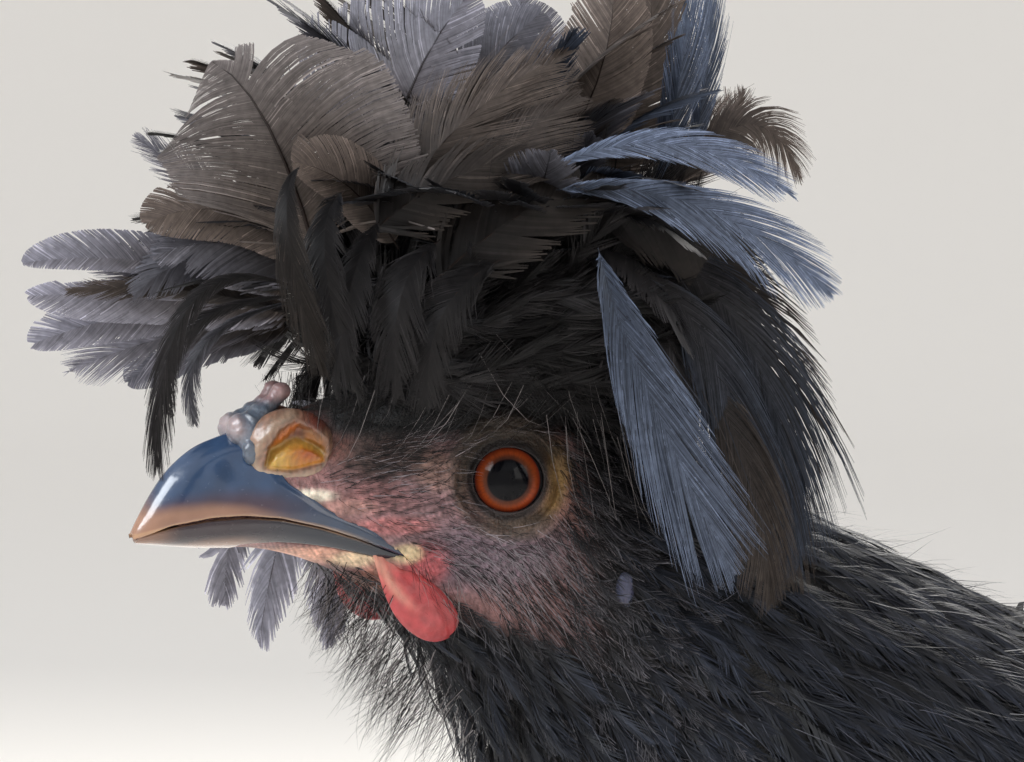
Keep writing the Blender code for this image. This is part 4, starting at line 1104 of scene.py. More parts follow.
NOSTRIL_CENTRE, NOSTRIL_SIZE = (25.0, 4.1, 3.5), (5.7, 4.9, 3.1)
NOSTRIL_HOLLOW = ((29.0, 1.5), (28.5, 4.4), (26.9, 6.5), (24.8, 7.7),
                  (22.8, 6.6), (20.9, 5.0), (21.0, 2.2), (25.2, 1.2))
NOSTRIL_RIM = ((29.6, 1.0), (30.2, 3.0), (29.4, 5.2), (27.4, 7.3), (25.0, 8.5))
NOSTRIL_LIP = ((32.4, 2.3), (29.4, 1.2), (26.0, 0.4), (22.4, 0.8), (19.6, 1.8))
LOBE_RIDGE = ((28.6, 2.2), (27.4, 3.9), (25.6, 4.8), (24.4, 5.0), (22.6, 4.3), (21.2, 3.4))
UPPER_FOLD = ((27.4, 5.2), (26.0, 6.2), (24.9, 7.1))


def within(forward, up, corners):
    """How far places of the face lie inside a closed outline of places, below nought outside it."""
    turned = np.zeros(np.shape(forward))
    for (f0, u0), (f1, u1) in zip(corners, corners[1:] + corners[:1]):
        turned += np.arctan2((f0 - forward) * (u1 - up) - (f1 - forward) * (u0 - up),
                             (f0 - forward) * (f1 - forward) + (u0 - up) * (u1 - up))
    return beside(forward, up, corners + corners[:1]) * np.where(np.abs(turned) > 3.0, 1.0, -1.0)


# %% Nostrils
def nostril(side):
    """A round rise of skin with the rim, the hollow, the lobe and the folds of one nostril in it."""
    bpy.ops.mesh.primitive_uv_sphere_add(segments=144, ring_count=84, radius=1.0)
    rise = bpy.context.object
    rise.name = "nostril_" + ("left" if side > 0 else "right")
    local = points_of(rise)
    forward = NOSTRIL_CENTRE[0] + local[:, 0] * NOSTRIL_SIZE[0]
    up = NOSTRIL_CENTRE[1] + local[:, 1] * NOSTRIL_SIZE[1]
    left = NOSTRIL_CENTRE[2] + local[:, 2] * NOSTRIL_SIZE[2] + 0.9 * smooth(-forward, -26.0, -21.0)
    rim, lip = beside(forward, up, NOSTRIL_RIM), beside(forward, up, NOSTRIL_LIP)
    ridge, fold = beside(forward, up, LOBE_RIDGE), beside(forward, up, UPPER_FOLD)
    inside = smooth(within(forward, up, NOSTRIL_HOLLOW), -0.25, 0.75)
    depth = 1.75 * inside * smooth(local[:, 2], 0.42, 0.92)
    ridge_up = np.interp(forward, *np.array(LOBE_RIDGE)[::-1].T)
    lobe = smooth(ridge_up - up, -0.5, 1.1) * inside
    lobe = lobe * smooth(28.9 - forward, 0.0, 1.0)
    shelf = smooth(up - ridge_up, 0.2, 1.0) * smooth(-forward, -24.6, -22.6) * inside
    streaks = np.sin((forward * 0.8 + up * 0.5) * 7 + 2 * np.sin(up * 1.7)) * np.sin(forward * 2.1 - up * 1.3)
    outer_face = smooth(local[:, 2], -0.1, 0.3)
    push = (0.30 * np.exp(-(rim / 0.4) ** 2) + 0.30 * np.exp(-(lip / 0.5) ** 2) + 0.06 * streaks - depth
            + depth * (0.85 * lobe + 0.45 * shelf + 0.5 * np.exp(-(fold / 0.7) ** 2))) * outer_face
    left = left + push
    set_points(rise, at(forward, up, side * left))
    if side < 0:
        rise.data.flip_normals()
    tint = np.array((0.21, 0.115, 0.075)) * (1 + 0.35 * streaks)[:, None]
    # The hollow is painted dark: painted shade deep in the nostril.
    tint = blend(tint, (0.10, 0.018, 0.005), inside)
    tint = blend(tint, (0.42, 0.11, 0.008), np.exp(-(fold / 0.8) ** 2) * inside)
    tint = blend(tint, (0.44, 0.17, 0.014), smooth(lobe, 0.2, 0.7))
    tint = blend(tint, (0.48, 0.30, 0.055), lobe * (1 - smooth(-forward, -28.0, -24.0)))
    # A darker orange in the lobe's middle is painted shade on its rounded face.
    lobe_shade = np.exp(-((forward - 23.4) / 1.7) ** 2 - ((up - 3.5) / 0.9) ** 2) * lobe
    tint = blend(tint, (0.33, 0.065, 0.006), lobe_shade)
    tint = blend(tint, (0.52, 0.30, 0.055), np.exp(-((ridge - 0.1) / 0.45) ** 2) * inside * 0.7)
    tint = blend(tint, (0.34, 0.13, 0.02), shelf * 0.8)
    # The pale rim is pale skin painted paler still: a painted highlight along it.
    tint = blend(tint, (0.34, 0.24, 0.17), np.exp(-(rim / 0.55) ** 2) * 0.75 * (1 - inside))
    tint = blend(tint, (0.46, 0.34, 0.25), np.exp(-(lip / 0.6) ** 2) * (1 - inside) * 0.8)
    tint = tint * (1 + 0.12 * streaks * inside)[:, None]
    rear_corner = smooth(-forward, -25.0, -22.4) * smooth(up, 5.8, 7.0) * (1 - inside)
    tint = blend(tint, (0.16, 0.045, 0.03), rear_corner)
    finished(rise, tint, FLESH_LOOK)


nostril(1)
nostril(-1)

# %% [markdown]
# ## Comb, wattles and earlobes
# The comb of a crested pullet is two pink knobs that rise from wet, blue-grey folds: eggs melted into one
# mass. The wattles are coral leaves that hang from the corners of the mouth, and the earlobes are small
# pale pads that are almost hidden. Each is drawn out in the solid's own place.

# %% Comb
# each lump's place forward, up and left, its three half sizes
COMB_LUMPS = (
    (30.8, 6.3, 1.5, 1.7, 2.1, 2.2), (29.7, 5.4, 2.7, 1.7, 2.4, 1.7), (29.0, 7.2, 1.6, 1.9, 1.7, 2.2),
    (30.2, 3.7, 4.2, 1.1, 1.6, 1.1), (27.9, 8.4, 1.3, 1.6, 1.3, 1.8), (26.8, 9.4, 1.3, 1.2, 1.1, 1.3),
    (25.9, 10.3, 1.4, 1.1, 1.1, 1.1), (25.3, 11.0, 1.5, 1.3, 1.2, 1.2),
)


def melted(parts, voxel, rounds):
    """Separate closed parts made one fine mesh and smoothed."""
    bpy.ops.object.select_all(action="DESELECT")
    for part in parts:
        part.select_set(True)
    bpy.context.view_layer.objects.active = parts[0]
    bpy.ops.object.join()
    made = bpy.context.object
    made.data.remesh_voxel_size = voxel * MM
    bpy.ops.object.voxel_remesh()
    soften = made.modifiers.new("soften", "SMOOTH")
    soften.factor, soften.iterations = 0.5, rounds
    bpy.ops.object.modifier_apply(modifier="soften")
    return made


comb = melted([egg("lump", (f, u, side * left), size, 24, 16) for side in (1, -1)
               for f, u, left, *size in COMB_LUMPS], 0.16, 20)
comb.name = "comb_horns"
f, u, left = measured(points_of(comb))
ripple = 0.06 * np.sin(f * 3.1 + 2 * np.sin(u * 1.9)) * np.sin(u * 2.3 + left * 1.7)
set_points(comb, at(f + ripple, u + ripple * 0.5, left + np.sign(left) * ripple))
# The darker blue-grey laid on by the ripple is painted shade meant for the creases of the folds.
tint = blend((0.095, 0.115, 0.150), (0.035, 0.045, 0.065), smooth(ripple, 0.0, 0.05) * 0.8)
# The pale pink at the front of the folds is a painted highlight.
tint = blend(tint, (0.42, 0.32, 0.31), np.exp(-((f - 31.8) / 1.0) ** 2 - ((u - 7.0) / 1.6) ** 2) * 0.8)
tint = blend(tint, (0.30, 0.19, 0.19), smooth(u, 9.2, 10.6))
finished(comb, tint, FLESH_LOOK)
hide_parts("comb")

# %% Wattles and earlobes
WATTLE_ROWS, WATTLE_SPOKES = 70, 56


def wattle(side):
    """A leaf of skin from the mouth's corner, its rear edge in the cheek and its end full and round."""
    top, bottom = np.array((15.0, -7.6)), np.array((6.2, -19.9))
    share = np.linspace(0.0, 1.0, WATTLE_ROWS)[:, None]
    clock = np.arange(WATTLE_SPOKES)[None, :] / WATTLE_SPOKES * 2 * math.pi
    width = (1.1 + 2.5 * smooth(share, 0.0, 0.75)) * np.sqrt(np.clip(1 - share ** 9, 0, 1))
    width = width * smooth(share, -0.15, 0.1)
    thick = (0.5 + 0.75 * smooth(share, 0.1, 0.8)) * np.sqrt(np.clip(1 - share ** 8, 0, 1)) + 0.02
    forward = top[0] + (bottom[0] - top[0]) * share + 0.9 * np.sin(math.pi * share)
    forward = forward + width * np.cos(clock) * 0.88
    up = top[1] + (bottom[1] - top[1]) * share - width * np.cos(clock) * 0.48
    root = skin_beside(*top, side)[0] * side / MM
    middle = root - 0.75 + (11.2 - root) * smooth(share, 0.0, 0.9) + 0.35 * np.cos(clock)
    puckers = 0.10 * np.sin(share * 31 + 2 * np.cos(clock)) + 0.08 * np.sin(clock * 9 + share * 14)
    left = middle + (thick + puckers) * np.sin(clock)
    made = closed_rings("wattle", at(forward, up, side * left))
    made.name = "wattle_leaf_" + ("left" if side > 0 else "right")
    f, u, _ = measured(points_of(made))
    along = smooth(-u, 8.0, 19.0)
    ahead = (f - np.interp(-u, (8.0, 14.0, 20.0), (14.6, 11.4, 6.4))) / 2.6
    tint = blend((0.44, 0.070, 0.072), (0.38, 0.055, 0.058), along)
    tint = blend(tint, (0.50, 0.20, 0.15), smooth(-along, -0.30, -0.02) * 0.8)
    vein = np.sin(f * 2.9 + 1.5 * np.sin(u * 1.3)) * np.sin(u * 2.3 + f)
    tint = tint * (1 + 0.16 * vein)[:, None]
    streak = np.exp(-((ahead - 0.62) / 0.30) ** 2) * (1 - smooth(along, 0.55, 0.95))
    tint = blend(tint, (0.55, 0.28, 0.20), streak * 0.7)
    finished(made, blend(tint, (0.28, 0.035, 0.045), smooth(-u, 18.5, 21.0) * 0.6), LEAF_LOOK)
    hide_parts("wattle_left" if side > 0 else "wattle_right")


def earlobe(side):
    name = "earlobe_left" if side > 0 else "earlobe_right"
    low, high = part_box(name)
    pad = egg("pad", (0, 0, 0), (1.2, 2.3, 1.0))
    local = points_of(pad)
    middle = (np.array(low) + np.array(high)) / 2 - np.array((side * 3.5 * MM, 0, 0))
    local = local - np.array(at(0, 0, 0)) + middle
    dimple = np.exp(-(((local - middle)[:, 1:] / (2.0 * MM)) ** 2).sum(-1)) * 0.5 * MM
    local[:, 0] -= side * dimple
    set_points(pad, local)
    pad.name = name + "_pad"
    finished(pad, (0.060, 0.066, 0.120), LEAF_LOOK)
    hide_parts(name)


for side in (1, -1):
    wattle(side)
    earlobe(side)

# %% [markdown]
# ## Claws
# The claws stay the solids' own size. Each is a fine copy, smoothed until its facets are gone, with horn
# that is dark at the root and paler at the worn point.

# %% Claws
for side_word in ("left", "right"):
    for toe in TOES:
        name = f"claw_{side_word}_{toe}"
        claw = fine_copy([name], 0.3, 0.0, 4)
        claw.name = name + "_horn"
        claw_points = points_of(claw)
        root = np.array(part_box(f"foot_{side_word}")[0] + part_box(f"foot_{side_word}")[1]) / 2
        reach = np.linalg.norm((claw_points - root)[:, :2], axis=1)
        worn = smooth(reach, np.percentile(reach, 40), reach.max())
        paint(claw.data, blend((0.045, 0.04, 0.04), (0.24, 0.19, 0.15), worn))
        claw.data.materials.clear()
        claw.data.materials.append(HORN_LOOK)
        claw.data.shade_smooth()
        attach(claw, "root")
        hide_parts(name)

# %% [markdown]
# ## How a feather is made
# A feather is a shaft with a row of barbs on each side. Flat cards with pictures of feathers would not show
# the splits, the loose ends and the light between the barbs, so every barb here is a thin strip of its own.
# A batch of feathers of one kind is worked out at once: the shaft is a bent path, each barb leaves it at
# an angle that closes towards the tip, and neighbours cling together in tufts that part from each other.

# %% Shafts and barbs
draw = np.random.default_rng(20)


def shaft_frames(root, bend, tip, face, twist, share):
    """The point, the sideways and the outward direction at shares along many shafts."""
    control = 2 * bend - (root + tip) / 2
    wide = (len(root),) + (1,) * (share.ndim - 1) + (3,)
    start, control, end, out = (v.reshape(wide) for v in (root, control, tip, face))
    s = share[..., None]
    point = start * (1 - s) ** 2 + control * 2 * s * (1 - s) + end * s ** 2
    along = unit((control - start) * (1 - s) + (end - control) * s)
    out = unit(out - along * (out * along).sum(-1, keepdims=True))
    across = np.cross(along, out)
    turn = twist.reshape(wide[:-1] + (1,)) * s
    return point, across * np.cos(turn) + out * np.sin(turn), out * np.cos(turn) - across * np.sin(turn)


# how far up the shaft the vane is at its full width, and where its end begins to round off
KINDS = {
    "plume": dict(barbs=72, steps=3, quill=0.05, angles=(0.85, 0.30), splits=6, opening=0.10, pull=0.22,
                  ragged=0.25, full=0.30, round=0.42, sweep=0.45, camber=0.12, curl=0.07, down=0.12, cover=2.4,
                  taper=0.40, shaft=0.20),
    "broad": dict(barbs=240, steps=4, quill=0.04, angles=(1.05, 0.50), splits=2.0, opening=0.07, pull=0.05,
                  ragged=0.03, full=0.30, round=0.62, sweep=0.30, camber=0.08, curl=0.04, down=0.05, cover=2.6,
                  taper=0.15, shaft=0.20),
    "parted": dict(barbs=330, steps=5, quill=0.04, angles=(1.10, 0.95), splits=1.0, opening=0.20, pull=0.04,
                   ragged=0.03, full=0.20, round=0.74, sweep=0.12, camber=0.06, curl=0.03, down=0.03, cover=2.3,
                   taper=0.15, shaft=0.20,
                   lobes=((-1, 0.70, 1.0, -1.6, 1.0), (-1, 0.46, 0.70, 1.3, 0.95), (-1, 0.12, 0.46, 0.2, 1.0),
                          (1, 0.82, 1.0, -1.6, 0.30), (1, 0.70, 0.82, -0.9, 0.55),
                          (1, 0.45, 0.70, 5.2, 0.85), (1, 0.0, 0.45, 4.0, 0.85))),
    "silky": dict(barbs=230, steps=6, quill=0.02, angles=(0.36, 0.12), splits=9, opening=0.05, pull=0.16,
                  ragged=0.30, full=0.75, round=0.86, sweep=0.20, camber=0.14, curl=0.05, down=0.05, cover=3.0,
                  taper=0.5, shaft=0.06, vary=0.32),
    "frayed": dict(barbs=150, steps=4, quill=0.04, angles=(0.70, 0.22), splits=10, opening=0.10, pull=0.30,
                   ragged=0.35, full=0.45, round=0.62, sweep=0.40, camber=0.10, curl=0.10, down=0.12, cover=2.0,
                   taper=0.55, shaft=0.14),
    "tuft": dict(barbs=28, steps=2, quill=0.02, angles=(0.50, 0.14), splits=6, opening=0.14, pull=0.45,
                 ragged=0.40, full=0.5, round=0.6, sweep=0.30, camber=0.18, curl=0.18, down=0.25, cover=0.9,
                 taper=0.5, shaft=0.05, vary=0.4),
    "contour": dict(barbs=18, steps=2, quill=0.04, angles=(1.0, 0.36), splits=3, opening=0.08, pull=0.30,
                    ragged=0.15, full=0.3, round=0.5, sweep=0.50, camber=0.16, curl=0.05, down=0.20, cover=2.2,
                    taper=0.35, shaft=0.12),
    "hackle": dict(barbs=22, steps=3, quill=0.03, angles=(0.42, 0.10), splits=6, opening=0.07, pull=0.30,
                   ragged=0.60, full=0.45, round=0.55, sweep=0.25, camber=0.15, curl=0.10, down=0.25, cover=1.1,
                   taper=0.6, shaft=0.03, vary=0.35),
    "flight": dict(barbs=70, steps=2, quill=0.03, angles=(0.85, 0.42), splits=4, opening=0.05, pull=0.15,
                   ragged=0.04, full=0.2, round=0.75, sweep=0.40, camber=0.07, curl=0.02, down=0.04, cover=2.4,
                   taper=0.2, shaft=0.5),
    "hair": dict(barbs=10, steps=3, quill=0.05, angles=(0.34, 0.10), splits=9, opening=0.20, pull=0.2,
                 ragged=0.5, full=0.5, round=0.8, sweep=0.1, camber=0.1, curl=0.25, down=0.2, cover=0.5,
                 taper=0.6, shaft=0.05),
}
GLINT_SHARE = 0.05
LAST_BARB = 0.97


# %% Outline and tufts
def outline(share, k):
    """The vane's width at shares of the shaft, against its full width."""
    closing = np.clip((share - k["round"]) / (1 - k["round"]), 0, 1)
    return np.maximum(smooth(share, -0.15, k["full"]), 0.1) * np.sqrt(1 - closing ** 2)


def tufted(shape, splits, share):
    """Which tuft each barb belongs to, the middle of its tuft, and a random number for each tuft."""
    parted = draw.random(shape) < splits / shape[2]
    tuft = np.cumsum(parted, axis=2) + np.arange(shape[0] * 2).reshape(-1, 2, 1) * (shape[2] + 1)
    sizes = np.maximum(np.bincount(tuft.ravel()), 1)
    middle = np.bincount(tuft.ravel(), weights=np.broadcast_to(share, shape).ravel()) / sizes
    lot = draw.normal(size=(2, len(sizes)))
    flat = (shape[0], 2 * shape[2])
    return middle[tuft].reshape(flat), lot[0][tuft].reshape(flat), lot[1][tuft].reshape(flat)


# %% Barbs
def barbs_of(kind, root, bend, tip, face, width, twist, uneven):
    """The barbs' points in a batch, with each point's share along the shaft and across the vane."""
    k = KINDS[kind]
    n, m, count = k["barbs"], k["steps"], len(root)
    length = np.linalg.norm(bend - root, axis=-1) + np.linalg.norm(tip - bend, axis=-1)
    place = (np.arange(n) + 0.5) / n
    share = np.tile(place, 2)[None, :]
    side = np.repeat((1.0, -1.0), n)[None, :]
    half = width[:, None] / 2 * (1 + uneven[:, None] * side)
    start = k["quill"] + (LAST_BARB - k["quill"]) * share
    middle, opened, lifted = tufted((count, 2, n), k["splits"], place)
    kept = np.ones(half.shape)
    for lobe_side, low, high, turned, cut in k.get("lobes", ()):
        inside = (side == lobe_side) & (share > low) & (share <= high)
        opened, kept = np.where(inside, turned, opened), np.where(inside, cut, kept)
    fluff = 1 - smooth(share, 0.0, k["down"])
    angle = k["angles"][0] + (k["angles"][1] - k["angles"][0]) * share ** 1.4
    angle = angle + draw.normal(0, 0.025, (count, 2 * n)) + fluff * draw.normal(0, 0.25, (count, 2 * n))
    leaning = np.maximum(angle * (1 - k["sweep"] / 2), 0.08)
    short, reach = np.zeros(angle.shape), half / np.sin(leaning)
    for _ in range(11):
        tried = (short + reach) / 2
        ended = start + tried * np.cos(leaning) / length[:, None]
        over = (tried * np.sin(leaning) > half * outline(ended, k)) | (ended > 1.03)
        short, reach = np.where(over, short, tried), np.where(over, tried, reach)
    reach = reach * kept * (1 - k["ragged"] * draw.random((count, 2 * n)) ** 2) * (1 + 0.05 * lifted)
    steps = np.linspace(0, 1, m + 1)
    mids = (steps[1:] + steps[:-1]) / 2
    bearing = angle[..., None] * (1 - k["sweep"] * mids) + k["opening"] * opened[..., None] * mids
    gone = np.zeros((count, 2 * n, m + 1, 2))
    gone[..., 1:, 0] = np.cumsum(np.cos(bearing), axis=-1) / m
    gone[..., 1:, 1] = np.cumsum(np.sin(bearing), axis=-1) / m
    gone *= reach[..., None, None]
    pulled = (middle - share) * (LAST_BARB - k["quill"]) * length[:, None] * k["pull"]
    ahead = gone[..., 0] + pulled[..., None] * steps ** 2
    beyond = gone[..., 1]
    proud = reach[..., None] * steps ** 2 * (k["curl"] * 0.6 * lifted + fluff * draw.normal(
        0, 0.3, (count, 2 * n)))[..., None]
    proud = proud - k["camber"] * beyond ** 2 / np.maximum(half[..., None], 1e-6)
    ends = np.concatenate([bearing[..., :1], bearing], axis=-1)
    spacing = ((LAST_BARB - k["quill"]) * length[:, None] / n)[..., None]
    thinned = (1 - k["taper"] * steps ** 2) * (1 - 1.2 * k["taper"] * smooth(steps, 0.66, 1.0))
    thick = np.maximum(spacing * np.sin(np.maximum(ends, 0.2)) * k["cover"] * thinned, 0.03 * MM) / 2
    edge = np.array((1.0, -1.0))
    ahead = ahead[..., None] + (np.sin(ends) * thick)[..., None] * edge
    over = beyond[..., None] - (np.cos(ends) * thick)[..., None] * edge
    proud = proud[..., None] + thick[..., None] * 0.35 * edge
    along = start[..., None, None] + ahead / length[:, None, None, None]
    point, across, out = shaft_frames(root, bend, tip, face, twist, along)
    points = point + across * (side[..., None, None] * over)[..., None] + out * proud[..., None]
    span = side[..., None, None] * over / np.maximum(half[..., None, None], 1e-6)
    return points, along, span, np.broadcast_to(steps[:, None], along.shape)


# %% Whole feathers
def barb_faces(count, barbs, steps):
    """The strips' faces for so many feathers, each with so many barbs."""
    corner = np.arange(steps)[:, None] * 2 + np.array((0, 1, 3, 2))
    return (np.arange(count * barbs)[:, None, None] * (steps + 1) * 2 + corner).reshape(-1, 4)


SHAFT_STATIONS = 7


def shafts_of(kind, root, bend, tip, face, width, twist):
    """Three-sided tapered shafts."""
    share = np.broadcast_to(np.linspace(0.0, 0.96, SHAFT_STATIONS), (len(root), SHAFT_STATIONS))
    point, across, out = shaft_frames(root, bend, tip, face, twist, share)
    radius = KINDS[kind]["shaft"] * np.clip(width / (12 * MM), 0.35, 1.6)[:, None] * (1 - 0.85 * share) * MM
    turn = np.array((0.5, 2.6, 4.7))
    ring = (across[:, :, None] * np.cos(turn)[:, None] + out[:, :, None] * np.sin(turn)[:, None])
    radius = radius[..., None, None]
    points = point[:, :, None] + out[:, :, None] * radius * 0.3 + ring * radius
    one = grid_faces(SHAFT_STATIONS, 3, True)
    faces = (np.arange(len(root))[:, None, None] * SHAFT_STATIONS * 3 + one).reshape(-1, 4)
    return points, faces, np.broadcast_to(share[..., None], points.shape[:-1])


def feathers(kind, root, bend, tip, face, width, tints, twist=0.0, shaft_tint=None, uneven=0.0):
    """A batch of feathers of one kind: points, faces, tints and patches of the OFBake map."""
    root, bend, tip, face = (np.asarray(v, float).reshape(-1, 3) for v in (root, bend, tip, face))
    width = np.broadcast_to(np.asarray(width, float), (len(root),))
    twist, uneven = (np.broadcast_to(np.asarray(v, float), (len(root),)) for v in (twist, uneven))
    low, high, edge = (np.broadcast_to(np.asarray(t, float), (len(root), 3)) for t in tints)
    k = KINDS[kind]
    points, along, span, steps = barbs_of(kind, root, bend, tip, face, width, twist, uneven)
    shade = 1 + k.get("vary", 0.14) * draw.normal(size=along.shape[:2])
    # A few barbs are made much brighter: painted glints.
    glint = draw.random(along.shape[:2]) < GLINT_SHARE
    shade = np.clip(np.where(glint, shade * 1.9, shade), 0.5, 2.4)[..., None, None]
    wide = (len(root), 1, 1, 1, 3)
    tint = blend(low.reshape(wide), high.reshape(wide), smooth(along, 0.08, 0.95))
    tint = blend(tint, edge.reshape(wide), smooth(steps, 0.35, 1.0) * 0.75) * shade[..., None]
    spot = spots_at(root)
    patch = PATCH * np.stack([np.clip(along, 0, 1.1) - 0.5, np.clip(span, -1.2, 1.2) / 2], axis=-1)
    patches = spot.reshape(len(root), 1, 1, 1, 2) + patch
    stems, stem_faces, stem_share = shafts_of(kind, root, bend, tip, face, width, twist)
    stem_low = low * 0.8 if shaft_tint is None else np.broadcast_to(np.asarray(shaft_tint, float), low.shape)
    stem_tint = blend(stem_low[:, None, None], high[:, None, None] * 0.8, smooth(stem_share, 0.3, 1.0) * 0.5)
    stem_patch = np.stack([stem_share - 0.5, stem_share * 0], axis=-1) * PATCH + spot[:, None, None]
    vane_faces = barb_faces(len(root), 2 * k["barbs"], k["steps"])
    start = points.size // 3
    return (np.concatenate([points.reshape(-1, 3), stems.reshape(-1, 3)]),
            np.concatenate([vane_faces, stem_faces + start]),
            np.concatenate([tint.reshape(-1, 3), stem_tint.reshape(-1, 3)]),
            np.concatenate([patches.reshape(-1, 2), stem_patch.reshape(-1, 2)]))


# %% Places on the skin
PATCH = 0.003
SPOT_STEP = 3
spot_tree_points = skin_grid[::SPOT_STEP, ::SPOT_STEP].reshape(-1, 3)
spot_rows, spot_columns = np.meshgrid(np.arange(0, skin_grid.shape[0], SPOT_STEP),
                                      np.arange(0, skin_grid.shape[1], SPOT_STEP), indexing="ij")
spot_tree = KDTree(len(spot_tree_points))
for number, spot_point in enumerate(spot_tree_points):
    spot_tree.insert(spot_point, number)
spot_tree.balance()


def grid_places(points):
    """The row and column of the skin's rings that lie nearest to each point."""
    found = np.array([spot_tree.find(p)[1] for p in points], int)
    return spot_rows.ravel()[found], spot_columns.ravel()[found]


def spots_at(points):
    """Where each point lies on the unwrapped rings, within 0.02 and 0.98."""
    rows, columns = grid_places(points)
    return 0.02 + 0.96 * np.stack([rows / skin_grid.shape[0], columns / skin_grid.shape[1]], axis=-1)


# %% Scattered places
skin.data.calc_loop_triangles()
skin_mesh_points = points_of(skin)
triangle_corners = np.empty(len(skin.data.loop_triangles) * 3, np.int32)
skin.data.loop_triangles.foreach_get("vertices", triangle_corners)
triangle_corners = triangle_corners.reshape(-1, 3)
# the union lists its triangles in any order: sorted, each run places the feathers alike
first = np.argmin(triangle_corners, axis=1)[:, None]
triangle_corners = np.take_along_axis(triangle_corners, (first + np.arange(3)) % 3, axis=1)
triangle_corners = triangle_corners[np.lexsort(triangle_corners.T[::-1])]
corners = skin_mesh_points[triangle_corners]
skin_crosses = np.cross(corners[:, 1] - corners[:, 0], corners[:, 2] - corners[:, 0])
skin_areas = np.linalg.norm(skin_crosses, axis=1) / 2
skin_normals = unit(skin_crosses)
skin_middles = corners.mean(axis=1)
skin_tree = BVHTree.FromPolygons(skin_mesh_points.tolist(), triangle_corners.tolist())


def scattered(wanted, spacing, tries=9):
    """Places on the skin where the test holds, kept so many millimetres apart, and their normals."""
    keep = np.flatnonzero(wanted(skin_middles, skin_normals))
    area = skin_areas[keep].sum()
    aim = int(tries * area / (spacing * MM) ** 2)
    chosen = keep[draw.choice(len(keep), aim, p=skin_areas[keep] / area)]
    mix = draw.random((aim, 2))
    flip = mix.sum(axis=1) > 1
    mix[flip] = 1 - mix[flip]
    three = corners[chosen]
    places = three[:, 0] + (three[:, 1] - three[:, 0]) * mix[:, :1] + (three[:, 2] - three[:, 0]) * mix[:, 1:]
    taken = {}
    kept = []
    cells = np.floor(places / (spacing * MM)).astype(int)
    for number, (place, cell) in enumerate(zip(places, cells)):
        near = [taken.get((cell[0] + i, cell[1] + j, cell[2] + k), ()) for i in (-1, 0, 1)
                for j in (-1, 0, 1) for k in (-1, 0, 1)]
        if all(((place - places[o]) ** 2).sum() > (spacing * MM) ** 2 for group in near for o in group):
            taken.setdefault(tuple(cell), []).append(number)
            kept.append(number)
    return places[kept], skin_normals[chosen[kept]]


def laid(places, normals, lie, length, lift, sink=1.0):
    """Paths that start under the skin and lie along it: roots, bends, tips and the way they face."""
    length = np.broadcast_to(np.asarray(length, float), (len(places),))[:, None] * MM
    low, high = (np.broadcast_to(np.asarray(v, float), (len(places),))[:, None] * MM for v in lift)
    lie = unit(lie - normals * (lie * normals).sum(-1, keepdims=True))
    bends, tips, facing = [], [], []
    for bend, tip in zip(places + lie * length * 0.5, places + lie * length):
        near, normal, _, _ = skin_tree.find_nearest(Vector(bend))
        bends.append(near)
        facing.append(normal)
        tips.append(skin_tree.find_nearest(Vector(tip))[0])
    facing = np.array(facing)
    tips, bends = np.array(tips), np.array(bends)
    return places - normals * sink * MM, bends + facing * low, tips + facing * high, facing


# %% Pieces of the coat
def coat(name, batches, look):
    """One piece of the coat from its batches of feathers."""
    starts = np.cumsum([0] + [len(b[0]) for b in batches[:-1]])
    points, tints, patches = (np.concatenate([b[i] for b in batches]) for i in (0, 2, 3))
    faces = np.concatenate([b[1] + s for b, s in zip(batches, starts)])
    piece = mesh_piece(name, points, faces, np.clip(tints, 0.002, 0.9), look, patches)
    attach(piece, "root")
    print(name, "has", 2 * len(faces), "triangles")
    return piece


def coat_halves(name, kind, paths, width, tints, look):
    """Two pieces of the coat, the bird's left and right, from one set of feathers."""
    for word, chosen in (("left", paths[0][:, 0] >= 0), ("right", paths[0][:, 0] < 0)):
        width_here = np.broadcast_to(width, chosen.shape)[chosen]
        tints_here = [np.broadcast_to(t, (len(chosen), 3))[chosen] for t in tints]
        coat(f"{name}_{word}", [feathers(kind, *(p[chosen] for p in paths), width_here, tints_here,
                                         draw.uniform(-0.3, 0.3, chosen.sum()))], look)


def varied(tint, count, spread=0.25):
    """The tint for each feather of a batch, a little darker or lighter from one to the next."""
    return np.asarray(tint, float) * np.clip(1 + spread * draw.normal(size=(count, 1)), 0.4, 2.0)

# %% [markdown]
# ## Crest
# A Polish hen's crest grows from a knob on the skull: short black feathers clothe the knob, and broad long
# ones rise from it, arch and fall outwards. The long ones follow the solids' tiers, many times denser. The
# thin outer ones are painted grey-brown to blue-grey, for the light through them and their sheen, and those
# inside are black.

# %% Crest directions
CREST_CORE_CENTRE, CREST_CORE_SIZE = (-5.0, 19.0), (17.5, 24.0, 14.0)
CREST_MOP_CENTRE, CREST_MOP_SIZE = (2.0, 23.0), (42.0, 45.0, 45.0)
CREST_TIERS = ((84, 78, 18, 1.0), (70, 62, 28, 1.0), (54, 42, 42, 1.0), (38, 24, 54, 0.99), (22, 8, 56, 0.97),
               (4, -6, 52, 0.92), (58, 50, 32, 0.78), (34, 20, 42, 0.76))
# The brown-grey and the lavender are the thin feathers' own dull colour painted paler for the light through them,
# and the blue-grey is a painted sheen.
BLACK, BACKLIT_BROWN_GREY = np.array((0.011, 0.010, 0.0105)), np.array((0.125, 0.100, 0.088))
BACKLIT_LAVENDER, SHEEN_BLUE_GREY = np.array((0.26, 0.255, 0.30)), np.array((0.115, 0.141, 0.205))


def heading(compass, rise):
    """A unit vector at a compass angle from the front towards the left, and above level, in degrees."""
    turn, lift = math.radians(compass), math.radians(rise)
    return np.array((math.sin(turn) * math.cos(lift), -math.cos(turn) * math.cos(lift), math.sin(lift)))


def core_place(compass, rise, depth=0.72):
    """A place in or on the crest's core, towards that direction."""
    return at(*CREST_CORE_CENTRE) + heading(compass, rise) * np.array(CREST_CORE_SIZE) * depth * MM


